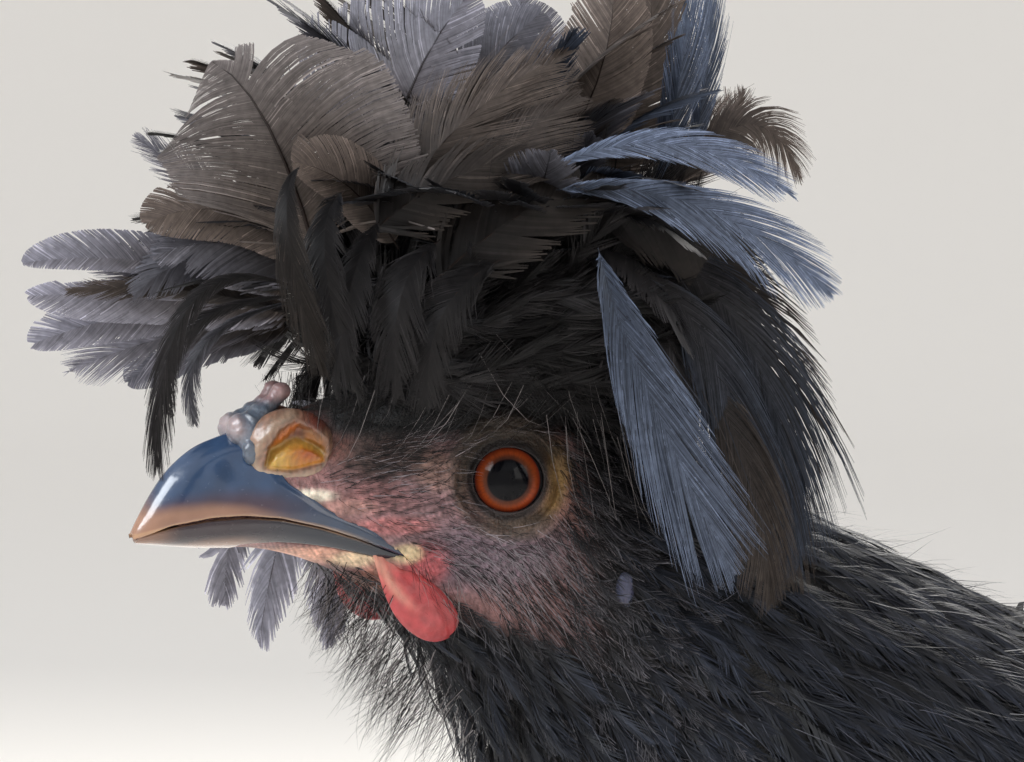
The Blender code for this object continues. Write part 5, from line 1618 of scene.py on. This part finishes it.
def mop_path(compass, tier):
    """Root, bend, tip, face and width of one long feather of the crest."""
    root_rise, tip_rise, _, reach = tier
    behind = float(smooth(compass, 98, 132) if compass > 0 else smooth(-compass, 38, 90))
    level = max(0.05, math.cos(math.radians(root_rise))) ** 0.7
    over_face = float(smooth(compass, 8, 30) * (1 - smooth(compass, 95, 125)))
    swept = over_face * float(smooth(30 - tip_rise, 0, 30))
    tip_rise += draw.uniform(-7, 7) - 52 * behind * level
    if behind < 0.1:
        tip_rise = max(tip_rise, 1 + 14 * over_face)
    normal = heading(compass, root_rise)
    rise = math.radians(tip_rise)
    outward = heading(compass + 38 * swept, 0) * math.cos(rise * (1 - 0.5 * behind))
    outward[2] = math.sin(rise)
    root = core_place(compass, root_rise)
    mop = np.array(CREST_MOP_SIZE) * reach * draw.uniform(0.84, 1.02) * (1 - 0.13 * behind) * MM
    tip = root + (at(*CREST_MOP_CENTRE) + outward * mop - root) * (1 - 0.3 * swept)
    span = np.linalg.norm(tip - root)
    arch = unit(normal * 0.75 + np.array((0, 0, 0.5 - 0.3 * swept)))
    control = root + arch * span * 0.52
    facing = heading(compass, 180) if root_rise > 55 else normal + np.array((0, 0, 0.6 * (1 - swept)))
    face = unit(control - (root + tip) / 2) + unit(facing)
    near_top = float(smooth(compass, 8, 24) * (1 - smooth(compass, 100, 125)) * smooth(root_rise, 36, 50))
    short = 0.5 * over_face * float(1 - smooth(root_rise, 25, 45)) + 0.42 * near_top
    tip = root + (tip - root) * (1 - short)
    control = root + (control - root) * (1 - short)
    width = 12.5 * draw.uniform(0.7, 1.2) * (1 - 0.2 * swept - 0.5 * short) * MM
    return root, (root + 2 * control + tip) / 4, tip, face, width, reach, tip_rise


# %% Long feathers of the crest
mop = {"root": [], "bend": [], "tip": [], "face": [], "width": [], "low": [], "high": [], "edge": []}
for number, tier in enumerate(CREST_TIERS):
    for i in range(tier[2]):
        compass = 360 * (i + 0.5 * (number % 2)) / tier[2] + draw.uniform(-5, 5) - 180
        root, bend, tip, face, width, reach, rise = mop_path(compass, tier)
        # Outer feathers that stand up get pale grey-brown, lavender or blue-grey tips, and outer ones behind get
        # lighter black or blue-grey, while those inside stay black: painted backlight and sheen.
        outer = reach > 0.9
        hue = draw.random()
        high = BLACK * 1.6
        if outer and rise > 30:
            high = BACKLIT_BROWN_GREY * 0.50 if hue < 0.7 else BACKLIT_LAVENDER * 0.30 if hue < 0.9 else SHEEN_BLUE_GREY * 0.25
        elif outer and abs(compass) > 100:
            high = BLACK * 2.6 if hue < 0.7 else SHEEN_BLUE_GREY * 0.35
        for key, value in zip(mop, (root, bend, tip, face, width, BLACK * 1.2, high * draw.uniform(0.6, 1.15),
                                    high * 1.25)):
            mop[key].append(value)
mop = {key: np.array(values) for key, values in mop.items()}
half_way = len(mop["root"]) // 2
for label, part in (("crest_upper", slice(0, half_way)), ("crest_lower", slice(half_way, None))):
    m = {key: values[part] for key, values in mop.items()}
    coat(label, [feathers("plume", m["root"], m["bend"], m["tip"], m["face"], m["width"],
                          (m["low"], m["high"], m["edge"]), draw.uniform(-0.3, 0.3, len(m["root"])))], CREST_LOOK)

# %% [markdown]
# The knob itself wears short black tufts. Low over the brow they lie back and up, and higher they stand
# outwards, so the long feathers seem to grow out of a soft black mass.

# %% Short feathers of the crest
CORE_COUNT = 640


def core_cover(count):
    """Short tufts all over the crest's core."""
    number = np.arange(count)
    rise = np.degrees(np.arcsin(-0.55 + 1.5 * (number + 0.5) / count))
    compass = (number * 137.508) % 360 - 180
    root = np.array([core_place(c, r, 0.90) for c, r in zip(compass, rise)])
    out = np.array([heading(c, r) for c, r in zip(compass, rise)])
    back = np.array((0.0, 1.0, 0.0))
    upward = np.array((0.0, 0.0, 1.0))
    low = (1 - smooth(rise, 0, 35))[:, None]
    front = smooth(-out[:, 1], 0.2, 0.8)[:, None]
    lie = out * 0.55 + upward * (0.25 + 0.35 * (1 - low)) + back * (0.75 * low * (1 - 0.5 * front) + 0.1)
    lie = unit(lie + draw.normal(0, 0.22, lie.shape))
    length = draw.uniform(9, 17, (count, 1)) * MM
    bend = root + (out * 0.5 + lie * 0.5) * length * 0.5
    tip = root + lie * length
    return root, bend, tip, out, draw.uniform(3.5, 6.5, count) * MM


root, bend, tip, face, width = core_cover(CORE_COUNT)
coat("crest_core", [feathers("tuft", root, bend, tip, face, width, (
    BLACK * 0.7, varied(BLACK * 1.3, CORE_COUNT, 0.5), BLACK * 2.0),
    draw.uniform(-0.5, 0.5, CORE_COUNT))], CREST_LOOK)

# %% [markdown]
# The feathers that give this hen its look are placed one by one: the broad split vane at the front, tall
# ones against the light, painted pale for the light through them, plumes that fall behind the eye painted
# with a blue-grey sheen, and the drooping black locks. Each is given by three places of the picture with
# their distances to the left, and by its width and colour.

# %% Named feathers of the crest
# kind; three places across, down and left; width in mm; colour at the root and at the tip; twist; unevenness
HERO_PLUMES = (
    ("parted", (318, 262, 12), (266, 122, 13), (208, 60, 11), 33, BACKLIT_BROWN_GREY * 0.8, (0.21, 0.19, 0.19), 0.10, 0.14),
    ("broad", (388, 215, 4), (408, 96, 5), (474, -12, 3), 24, BACKLIT_BROWN_GREY * 1.0, BACKLIT_LAVENDER * 0.8, -0.1, -0.5),
    ("broad", (480, 190, -4), (508, 80, -5), (522, -4, -8), 15, SHEEN_BLUE_GREY * 0.8, BACKLIT_LAVENDER * 0.75, 0.1, 0.0),
    ("broad", (440, 180, 0), (470, 90, 0), (545, 10, -2), 13, BACKLIT_BROWN_GREY * 0.5, BACKLIT_LAVENDER * 0.5, 0.1, 0.0),
    ("frayed", (392, 225, 15), (450, 135, 17), (548, 62, 15), 13, BACKLIT_BROWN_GREY * 0.25, BACKLIT_BROWN_GREY * 0.85, 0.2, 0.0),
    ("frayed", (415, 225, 14), (480, 128, 16), (572, 48, 14), 13, BACKLIT_BROWN_GREY * 0.25, BACKLIT_BROWN_GREY * 0.8, 0.1, 0.0),
    ("frayed", (430, 250, 17), (500, 155, 19), (588, 95, 17), 12, BLACK * 2.5, BACKLIT_BROWN_GREY * 0.55, 0.2, 0.0),
    ("plume", (372, 235, 18), (430, 190, 21), (530, 150, 20), 11, BLACK * 1.5, BACKLIT_BROWN_GREY * 0.30, 0.2, 0.0),
    ("plume", (430, 285, 20), (520, 215, 23), (610, 175, 21), 12, BLACK * 1.2, BACKLIT_BROWN_GREY * 0.20, 0.3, 0.0),
    ("broad", (545, 175, 8), (598, 80, 10), (614, -24, 8), 12, BACKLIT_BROWN_GREY * 0.6, BACKLIT_BROWN_GREY * 1.2, 0.1, -0.1),
    ("broad", (585, 180, 4), (640, 90, 6), (650, -30, 4), 12, BACKLIT_BROWN_GREY * 0.5, BACKLIT_BROWN_GREY * 0.9, 0.1, 0.0),
    ("silky", (648, 200, 6), (678, 90, 8), (684, -40, 4), 7, SHEEN_BLUE_GREY * 0.35, SHEEN_BLUE_GREY * 0.85, 0.1, 0.0),
    ("silky", (682, 190, 0), (704, 90, 0), (710, -15, -3), 4.5, SHEEN_BLUE_GREY * 0.35, SHEEN_BLUE_GREY * 0.7, 0.1, 0.0),
    ("frayed", (640, 215, 0), (742, 125, 0), (802, 185, -2), 9, BACKLIT_BROWN_GREY * 0.3, BACKLIT_BROWN_GREY * 0.9, 0.3, 0.0),
    ("frayed", (640, 205, -3), (715, 140, -4), (744, 86, -6), 8, BACKLIT_BROWN_GREY * 0.3, BACKLIT_BROWN_GREY * 0.9, 0.1, 0.0),
    ("silky", (541, 174, 22), (668, 144, 27), (797, 198, 24), 5.6, SHEEN_BLUE_GREY * 0.9, SHEEN_BLUE_GREY * 1.5, 0.1, 0.0),
    ("silky", (556, 190, 24), (704, 208, 29), (836, 298, 27), 8.5, SHEEN_BLUE_GREY * 0.4, SHEEN_BLUE_GREY * 1.25, 0.2, 0.1),
    ("silky", (598, 248, 27), (650, 395, 33), (738, 584, 32), 11.5, SHEEN_BLUE_GREY * 0.35, SHEEN_BLUE_GREY * 0.85, 0.1, 0.0),
    ("silky", (640, 268, 22), (722, 375, 27), (772, 566, 26), 12, BLACK * 2.0, SHEEN_BLUE_GREY * 0.30, 0.2, 0.0),
    ("silky", (640, 240, 19), (752, 352, 24), (800, 575, 22), 15, BLACK * 2.0, SHEEN_BLUE_GREY * 0.22, 0.1, 0.0),
    ("silky", (622, 250, 18), (728, 392, 23), (744, 560, 22), 14, BLACK * 1.5, BACKLIT_BROWN_GREY * 0.2, 0.1, 0.0),
    ("frayed", (630, 256, 15), (748, 352, 21), (788, 610, 20), 17, BLACK * 2.0, BACKLIT_BROWN_GREY * 0.30, 0.1, 0.0),
    ("silky", (660, 330, 24), (742, 450, 28), (770, 610, 27), 9, BLACK * 2, BACKLIT_BROWN_GREY * 0.36, 0.1, 0.0),
    ("plume", (590, 215, 18), (690, 238, 22), (765, 320, 20), 12, BLACK * 2.0, BACKLIT_BROWN_GREY * 0.24, 0.2, 0.0),
    ("silky", (296, 288, 14), (190, 306, 16), (157, 478, 14), 3.6, BLACK * 1.2, BLACK * 2.2, 0.2, 0.0),
    ("silky", (296, 296, 12), (190, 330, 14), (168, 420, 12), 3.0, BLACK * 1.2, BLACK * 2.0, -0.2, 0.0),
    ("silky", (300, 300, 10), (205, 345, 12), (196, 428, 10), 2.4, BLACK * 1.2, BACKLIT_LAVENDER * 0.3, -0.1, 0.0),
    ("broad", (300, 300, 2), (150, 262, 0), (16, 264, -6), 5.0, BACKLIT_BROWN_GREY * 0.6, BACKLIT_LAVENDER * 0.9, 0.1, 0.4),
    ("frayed", (300, 305, 0), (170, 285, -2), (60, 242, -6), 4.5, BACKLIT_BROWN_GREY * 0.6, BACKLIT_LAVENDER * 1.1, -0.3, 0.0),
    ("broad", (300, 310, 0), (160, 296, -3), (22, 296, -8), 6.0, BACKLIT_BROWN_GREY * 0.7, BACKLIT_LAVENDER * 1.2, 0.2, -0.3),
    ("frayed", (300, 315, 0), (180, 290, 0), (62, 292, -2), 3.5, BLACK * 2, BACKLIT_BROWN_GREY * 0.6, 0.2, 0.0),
    ("broad", (300, 320, -4), (160, 312, -7), (28, 346, -12), 7.0, BACKLIT_BROWN_GREY * 0.6, BACKLIT_LAVENDER * 1.1, 0.1, 0.2),
    ("frayed", (300, 320, -8), (175, 335, -12), (62, 375, -18), 7.5, BACKLIT_BROWN_GREY * 0.5, BACKLIT_LAVENDER * 0.9, 0.2, 0.0),
    ("broad", (300, 325, -8), (200, 340, -12), (125, 385, -16), 7.5, BACKLIT_BROWN_GREY * 0.4, BACKLIT_LAVENDER * 0.6, -0.2, 0.0),
    ("frayed", (290, 250, -8), (195, 180, -14), (132, 134, -18), 6.0, BACKLIT_BROWN_GREY * 0.6, BACKLIT_LAVENDER * 0.7, 0.2, 0.0),
    ("plume", (300, 290, 4), (210, 255, 3), (130, 300, 0), 8.0, BLACK * 3, BACKLIT_LAVENDER * 0.4, 0.2, 0.0),
    ("broad", (340, 268, 9), (235, 212, 9), (142, 226, 7), 8, BACKLIT_BROWN_GREY * 0.5, BACKLIT_BROWN_GREY * 1.2, 0.3, 0.0),
    ("plume", (330, 290, 8), (240, 245, 8), (150, 258, 6), 10, BLACK * 3, BACKLIT_LAVENDER * 0.45, 0.2, 0.0),
    ("broad", (398, 248, 14), (348, 186, 17), (290, 162, 18), 8.5, BACKLIT_BROWN_GREY * 0.5, BACKLIT_BROWN_GREY * 1.2, 0.1, 0.3),
    ("silky", (300, 166, 21), (288, 235, 27), (326, 380, 26), 4.6, BLACK * 1.2, BACKLIT_BROWN_GREY * 0.14, 0.2, 0.0),
    ("frayed", (345, 190, 20), (325, 260, 26), (362, 408, 25), 5.0, BLACK * 1.0, BLACK * 1.5, -0.2, 0.0),
    ("frayed", (380, 220, 20), (350, 290, 26), (335, 402, 25), 5.0, BLACK * 1.0, BLACK * 1.5, -0.2, 0.0),
    ("frayed", (440, 240, 22), (400, 300, 27), (398, 404, 26), 7.0, BLACK * 1.2, BLACK * 1.8, 0.1, 0.0),
    ("frayed", (500, 260, 24), (440, 320, 28), (430, 420, 25), 7.0, BLACK * 1.0, BLACK * 1.6, 0.1, 0.0),
    ("plume", (330, 400, -20), (245, 490, -30), (226, 612, -38), 9, BACKLIT_LAVENDER * 0.5, BACKLIT_LAVENDER * 0.95, 0.2, 0.0),
    ("plume", (330, 420, -18), (285, 520, -28), (258, 652, -34), 10, BACKLIT_LAVENDER * 0.5, BACKLIT_LAVENDER * 0.95, -0.3, 0.0),
    ("plume", (590, 225, 4), (670, 240, 6), (748, 300, 4), 15, BLACK, BLACK * 1.8, 0.2, 0.0),
    ("plume", (340, 240, 4), (410, 205, 6), (500, 190, 4), 13, BLACK, BLACK * 1.8, 0.2, 0.0),
    ("plume", (560, 240, 0), (660, 225, 2), (740, 240, 0), 14, BLACK, BLACK * 1.8, 0.2, 0.0),
    ("plume", (345, 430, -16), (330, 540, -24), (330, 650, -28), 9, BACKLIT_BROWN_GREY * 0.8, BACKLIT_LAVENDER * 0.9, 0.2, 0.0),
)
SHAFT_BROWN = np.array((0.020, 0.012, 0.010))
batches = []
for kind in ("parted", "broad", "plume", "frayed", "silky"):
    group = [plume for plume in HERO_PLUMES if plume[0] == kind]
    root, bend, tip = (np.array([sighted(*plume[i]) for plume in group]) for i in (1, 2, 3))
    face = unit(unit(bend - (root + tip) / 2) * 0.25 + camera_back + draw.normal(0, 0.12, root.shape))
    high = np.array([plume[6] for plume in group])
    batches.append(feathers(kind, root, bend, tip, face, np.array([plume[4] for plume in group]) * MM,
                            (np.array([plume[5] for plume in group]), high, high * 1.2),
                            np.array([plume[7] for plume in group]), None if kind == "silky" else SHAFT_BROWN,
                            np.array([plume[8] for plume in group])))
coat("crest_named", batches, CREST_LOOK)
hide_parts("crest")

# %% [markdown]
# ## Coat of the neck and body
# Narrow hackles cover the neck, and broad round contour feathers the breast, back and belly. Each lies
# along the body towards the tail and overlaps the next. Its bend and tip are dropped onto the skin, which
# keeps the coat close and even round every curve.

# %% Where each kind grows
def lie_of(places):
    """The way feathers lie at places on the body: towards the tail and a little down."""
    rows, columns = grid_places(places)
    return unit(skin_back[rows, columns] + np.array((0, 0, -0.12)))


def wing_covers(forward, up, left):
    """True where the folded wing lies on the body."""
    return (((forward + 150) / 84) ** 2 + ((up + 100) / 27) ** 2 < 1) & (np.abs(left) > 25)


def on_neck(places, normals):
    forward, up, left = measured(places)
    throat = (up < -14 - 0.33 * (12 - forward)) & (forward < 14)
    nape = (forward < -13)
    return (throat | nape) & (forward > -75) & (up > -60)


def on_body(places, normals):
    forward, up, left = measured(places)
    return ((forward <= -68) | (up <= -54)) & (up > -190) & ~wing_covers(forward, up, left)


def on_legs(places, normals):
    forward, up, left = measured(places)
    return (up < -150) & (up > -211) & (np.abs(left) > 14) & (forward < -100)


# The blue of the coat's feather tips is a painted sheen on black.
NECK_BLUE_SHEEN = np.array((0.014, 0.017, 0.026))
places, normals = scattered(on_neck, 2.5)
count = len(places)
forward, up, left = measured(places)
far = smooth(-forward, 8, 60) * 0.6 + smooth(-up, 15, 55) * 0.6
length = 10 + 15 * far + draw.uniform(-2, 3, count)
throat = np.exp(-((up + 30) / 15) ** 2) * smooth(forward, -14, 2)
paths = laid(places, normals, lie_of(places) + draw.normal(0, 0.16, places.shape), length * 1.15,
             (1.6 + far + 2.0 * throat,
              1.0 + draw.uniform(0, 1.8, count) + throat * draw.uniform(1.5, 5.0, count)))
coat_halves("neck_feathers", "hackle", paths, (3.6 + 3.2 * far) * MM,
            (BLACK * 0.7, varied(NECK_BLUE_SHEEN * 0.75, count, 0.4), varied(NECK_BLUE_SHEEN * 0.95, count, 0.4)), COAT_LOOK)

# %% Body feathers
places, normals = scattered(on_body, 6.4)
count = len(places)
forward, up, left = measured(places)
back_share = smooth(-forward, 60, 150)
length = 22 + 12 * back_share + draw.uniform(-3, 3, count)
paths = laid(places, normals, lie_of(places) + draw.normal(0, 0.08, places.shape), length,
             (2.6, 2.6 + draw.uniform(0, 2.0, count)))
coat_halves("body_feathers", "contour", paths, (11 + 5 * back_share) * MM,
            (BLACK * 0.8, varied(NECK_BLUE_SHEEN * 0.9, count, 0.3), varied(BLACK * 2.2, count, 0.3)), COAT_LOOK)

# %% Thigh feathers
places, normals = scattered(on_legs, 4.6)
count = len(places)
near_hock = smooth(-measured(places)[1], 170, 208)
down = np.broadcast_to(np.array((0.0, 0.35, -1.0)), places.shape) + draw.normal(0, 0.10, places.shape)
root, bend, tip, face = laid(places, normals, down, 17 - 7 * near_hock + draw.uniform(-2, 3, count),
                             (1.8 - 0.9 * near_hock, 1.2 + draw.uniform(0, 1.6, count) - 0.8 * near_hock))
coat("thigh_feathers", [feathers("contour", root, bend, tip, face, (8.5 - 4.0 * near_hock) * MM, (
    BLACK * 0.8, varied(NECK_BLUE_SHEEN * 0.8, count, 0.3), varied(BLACK * 2.5, count, 0.3)))], COAT_LOOK)

# %% [markdown]
# ## Face bristles and throat down
# The bare face carries short black bristles that run back from the beak, dense before the eye and below it.
# The cheek and the throat wear loose, hair-like feathers. Their pale single barbs and the pale hairs are
# painted highlights, the lines that catch the light.

# %% Bristles
BRISTLE_STEPS = 3


def bristles(root, bend, tip, thick, tint):
    """Single curved hairs as tapered strips that face outwards."""
    count = len(root)
    share = np.broadcast_to(np.linspace(0, 1, BRISTLE_STEPS + 1), (count, BRISTLE_STEPS + 1))
    point, across, _ = shaft_frames(root, bend, tip, draw.normal(size=root.shape) * 0.4
                                    + unit(bend - (root + tip) / 2) + 1e-6, np.zeros(count), share)
    half = (np.asarray(thick).reshape(-1, 1) * (1 - 0.85 * share) / 2 * MM)[..., None]
    pairs = np.stack([point - across * half, point + across * half], axis=2)
    faces = barb_faces(count, 1, BRISTLE_STEPS)
    tints = np.broadcast_to(np.asarray(tint)[:, None, None], pairs.shape)
    spot = spots_at(root)[:, None, None]
    along = share[..., None] * np.ones(2) - 0.5
    patches = spot + PATCH * np.stack([along, np.zeros(pairs.shape[:-1])], axis=-1)
    return pairs.reshape(-1, 3), faces, tints.reshape(-1, 3), patches.reshape(-1, 2)


def on_face(places, normals):
    forward, up, left = measured(places)
    deep, away, _, _ = from_eye(places)
    jaw = -13.2 - 0.33 * (12 - forward)
    horn = forward > 23.5 - 1.5 * np.abs(up)
    return (forward > -14) & (up < 6.5) & (up > jaw - 3) & (away > 5.6) & ~horn & (np.abs(left) > 3)


places, normals = scattered(on_face, 0.30, 3)
forward, up, left = measured(places)
deep, away, clock, _ = from_eye(places)
lore = np.exp(-((forward - 13) / 6) ** 2 - ((up - 3.5) / 4) ** 2)
cheek = smooth(-up, 4, 12) + smooth(-forward, 2, 12)
chance = np.clip(0.30 + 0.8 * lore + 0.65 * cheek, 0, 1) * smooth(away, 5.6, 7.5)
kept = draw.random(len(places)) < chance
places, normals, cheek = places[kept], normals[kept], cheek[kept]
count = len(places)
lie = lie_of(places) + draw.normal(0, 0.22, places.shape)
root, bend, tip, face = laid(places, normals, lie, draw.uniform(1.8, 4.8, count) + 2.0 * np.clip(cheek, 0, 1),
                             (0.45, 0.6 + draw.uniform(0, 0.9, count)), 0.2)
forward, up, left = measured(places)
bloom = np.exp(-((forward - 1) / 10) ** 2 - ((up + 9.5) / 4.5) ** 2)
# Some hairs, more of them on the grey bloom, are painted pale: painted highlights of hairs that catch the light.
glinting = draw.random(count) < 0.16 + 0.42 * bloom
hair_tint = np.where(glinting[:, None], np.array((0.27, 0.24, 0.26)), varied(BLACK, count, 0.3))
coat("face_bristles", [bristles(root, bend, tip, draw.uniform(0.05, 0.12, count), hair_tint)], COAT_LOOK)

# %% Fringe of the crest
# count; where roots run from and to, where tips do (across, down, left); how far they sag; share of hairs painted
# pale as highlights
FRINGES = (
    (40, ((562, 412, 17), (640, 440, 20)), ((582, 520, 16), (680, 530, 21)), 6, 0.6),
    (80, ((585, 380, 18), (480, 385, 17)), ((505, 434, 16), (425, 440, 13)), 16, 0.2),
    (120, ((480, 380, 16), (350, 385, 10)), ((420, 446, 12), (330, 452, 8)), 14, 0.08),
    (70, ((600, 360, 20), (480, 350, 19)), ((640, 440, 20), (540, 420, 18)), 14, 0.15),
    (34, ((408, 556, 11.5), (462, 596, 13)), ((424, 600, 12.5), (476, 640, 13)), 2, 0.2),
    (50, ((385, 395, 12), (300, 385, 7)), ((350, 448, 9), (300, 430, 6)), 10, 0.05),
    (240, ((340, 568, 5), (455, 705, 5)), ((312, 602, 4), (404, 752, 4)), 4, 0.35),
    (200, ((375, 590, 9), (480, 740, 10)), ((350, 640, 9), (440, 800, 10)), 4, 0.3),
)


def fringe(count, roots, tips, sag, glinting):
    """Hairs from one line of the picture to another, for both sides of the face."""
    share = draw.random(count)[:, None]
    ends = []
    for first, last in (roots, tips):
        line = np.array(first, float) + (np.array(last, float) - np.array(first, float)) * share
        line += draw.normal(0, (9, 9, 0.8), line.shape)
        ends.append(np.array([sighted(*spot) for spot in line]))
    bend = (ends[0] + ends[1]) / 2 + np.array((0, 0, -sag * 0.12 * MM))
    bend = bend + draw.normal(0, 0.5 * MM, ends[0].shape)
    mirror = np.array((-1.0, 1.0, 1.0))
    root, bend, tip = (np.concatenate([v, v * mirror]) for v in (ends[0], bend, ends[1]))
    # Pale hairs are painted highlights on the dark fringe.
    shine = np.where(draw.random(2 * count)[:, None] < glinting, np.array((0.22, 0.20, 0.20)), BLACK)
    return bristles(root, bend, tip, draw.uniform(0.06, 0.12, 2 * count), shine)


coat("brow_fringe", [fringe(*row) for row in FRINGES], CREST_LOOK)

# %% Single hairs of the neck
# Pale strands over the neck's black coat: painted highlights of its fine barbs.
places, normals = scattered(on_neck, 2.6)
count = len(places)
paths = laid(places, normals, lie_of(places) + draw.normal(0, 0.2, places.shape), draw.uniform(6, 13, count),
             (3.4, 3.8 + draw.uniform(0, 2.0, count)), 0.2)
coat("neck_hair_highlights", [bristles(*paths[:3], draw.uniform(0.06, 0.13, count),
                             varied((0.050, 0.050, 0.062), count, 0.5))],
     COAT_LOOK)


# %% Loose feathers of cheek and throat
def on_cheek(places, normals):
    forward, up, left = measured(places)
    jaw = -13.2 - 0.33 * (12 - forward)
    behind = (forward < -7.5) & (forward > -22) & (up < 9)
    below = (up < jaw + 0.8) & (up > jaw - 14) & (forward < 22)
    return (behind | below) & (forward > -24) & (up > -38)


places, normals = scattered(on_cheek, 1.55)
count = len(places)
root, bend, tip, face = laid(places, normals, lie_of(places) + draw.normal(0, 0.25, places.shape),
                             draw.uniform(5, 11, count), (1.1, 1.3 + draw.uniform(0, 2.4, count)), 0.4)
# The pale ends of these feathers' barbs are painted highlights.
coat("cheek_feathers", [feathers("hair", root, bend, tip, face, draw.uniform(1.6, 3.2, count) * MM, (
    BLACK, varied(np.array((0.024, 0.023, 0.027)), count, 0.5),
    varied(np.array((0.085, 0.080, 0.088)), count, 0.4)),
    draw.uniform(-0.6, 0.6, count))], COAT_LOOK)

# %% [markdown]
# ## Wings
# A folded wing shows its flight feathers as a fan of overlapping ends under rows of coverts, each row
# shorter and rounder than the next. The feathers lie on the same egg-shaped surface as the solids' wing.

# %% Rows of the wing
WING_CENTRE, WING_STANDS_OUT = (-150.0, -92.0), 75.5
WING_FRONT, WING_REAR, WING_ABOVE, WING_BELOW = 150.0, 122.0, 60.0, 68.0
# count, first and last root, first and last tip (forward and up), width, lift, kind
WING_ROWS = (
    (9, ((-122, -116), (-120, -102)), ((-236, -116), (-260, -86)), 14, -4.6, "flight"),
    (13, ((-112, -122), (-142, -80)), ((-200, -134), (-238, -72)), 17, -2.4, "flight"),
    (12, ((-96, -120), (-134, -76)), ((-158, -132), (-202, -70)), 16, -0.4, "flight"),
    (12, ((-86, -118), (-122, -74)), ((-130, -130), (-172, -70)), 15, 0.8, "contour"),
    (11, ((-78, -114), (-110, -72)), ((-108, -124), (-146, -68)), 14, 1.8, "contour"),
    (10, ((-70, -108), (-98, -72)), ((-92, -118), (-124, -68)), 13, 2.2, "contour"),
    (9, ((-65, -104), (-88, -74)), ((-80, -112), (-106, -70)), 12, 2.2, "contour"),
)


def wing_point(forward, up, lift, side):
    """A place on the folded wing's outer surface, seen from the side, and lifted out."""
    along = (forward - WING_CENTRE[0]) / np.where(forward > WING_CENTRE[0], WING_FRONT, WING_REAR)
    across = (up - WING_CENTRE[1]) / np.where(up > WING_CENTRE[1], WING_ABOVE, WING_BELOW)
    out = np.sqrt(np.maximum(0.09, 1 - along ** 2 - across ** 2))
    return at(forward, up, side * (WING_STANDS_OUT * out + lift))


def wing(side):
    """All rows of one wing, from the flight feathers out to the small coverts."""
    batches = []
    for count, roots, tips, width, lift, kind in WING_ROWS:
        step = np.linspace(0, 1, count)[:, None]
        start = np.array(roots[0]) + (np.array(roots[1]) - roots[0]) * step
        end = np.array(tips[0]) + (np.array(tips[1]) - tips[0]) * step + draw.normal(0, 1.0, (count, 2))
        middle = (start + end) / 2 + np.array((0, 1.5))
        shingle = -1.6 * step[:, 0]
        root = wing_point(start[:, 0], start[:, 1], lift - 4.5 + shingle, side)
        bend = wing_point(middle[:, 0], middle[:, 1], lift + 0.4 + shingle, side)
        tip = wing_point(end[:, 0], end[:, 1], lift + shingle, side)
        lower = wing_point(middle[:, 0], middle[:, 1] - 3, lift + 1.2, side)
        upper = wing_point(middle[:, 0], middle[:, 1] + 3, lift - 0.8, side)
        face = unit(np.cross(tip - root, upper - lower))
        face = face * np.sign(face[:, :1] * side)
        sheen = NECK_BLUE_SHEEN * (1.1 if kind == "contour" else 0.8)
        batches.append(feathers(kind, root, bend, tip, face, width * MM, (
            BLACK, varied(sheen, count, 0.2), varied(BLACK * 2.6, count, 0.2)), -0.10 * side))
    name = "wing_left" if side > 0 else "wing_right"
    made = coat(name + "_feathers", batches, COAT_LOOK)
    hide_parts(name)


for side in (1, -1):
    wing(side)

# %% [markdown]
# ## Tail
# The tail is a tent of seven pairs of broad feathers. Coverts in two tiers hide their roots.

# %% Feathers of the tail
TAIL_ROOT, TAIL_LENGTH = (-254.0, -76.0), 122.0
TAIL_TIERS = ((8, 1.0, 25, 0.0, "flight"), (6, 0.74, 24, 3.0, "flight"), (6, 0.52, 22, 5.5, "contour"),
              (5, 0.36, 20, 7.5, "contour"))


def tail_feathers():
    batches = []
    for side in (1, -1):
        for count, length, width, lift, kind in TAIL_TIERS:
            for share in np.linspace(0, 1, count):
                rise = 54 - 40 * share
                along = heading(180 - side * (2.5 + 17 * share), rise)
                lean = math.radians(60 - 46 * share)
                outward = np.array((side * math.cos(lean), 0, math.sin(lean)))
                face = unit(outward - along * (outward @ along))
                root = at(*TAIL_ROOT) + np.array((side * 4.5, 0, 7 - 14 * share)) * MM + face * lift * MM
                full = TAIL_LENGTH * length * (1 - 0.16 * share) * MM
                bend = root + along * (full * 0.5 - 6 * MM) + face * 1.6 * MM
                tip = root + along * (full - 6 * MM) + face * 3.0 * MM
                batches.append(feathers(kind, root, bend, tip, face, width * MM, (
                    BLACK, NECK_BLUE_SHEEN * 0.8, BLACK * 2.4), 0.08 * side))
    made = coat("tail_feathers", batches, COAT_LOOK)
    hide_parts("tail")


tail_feathers()
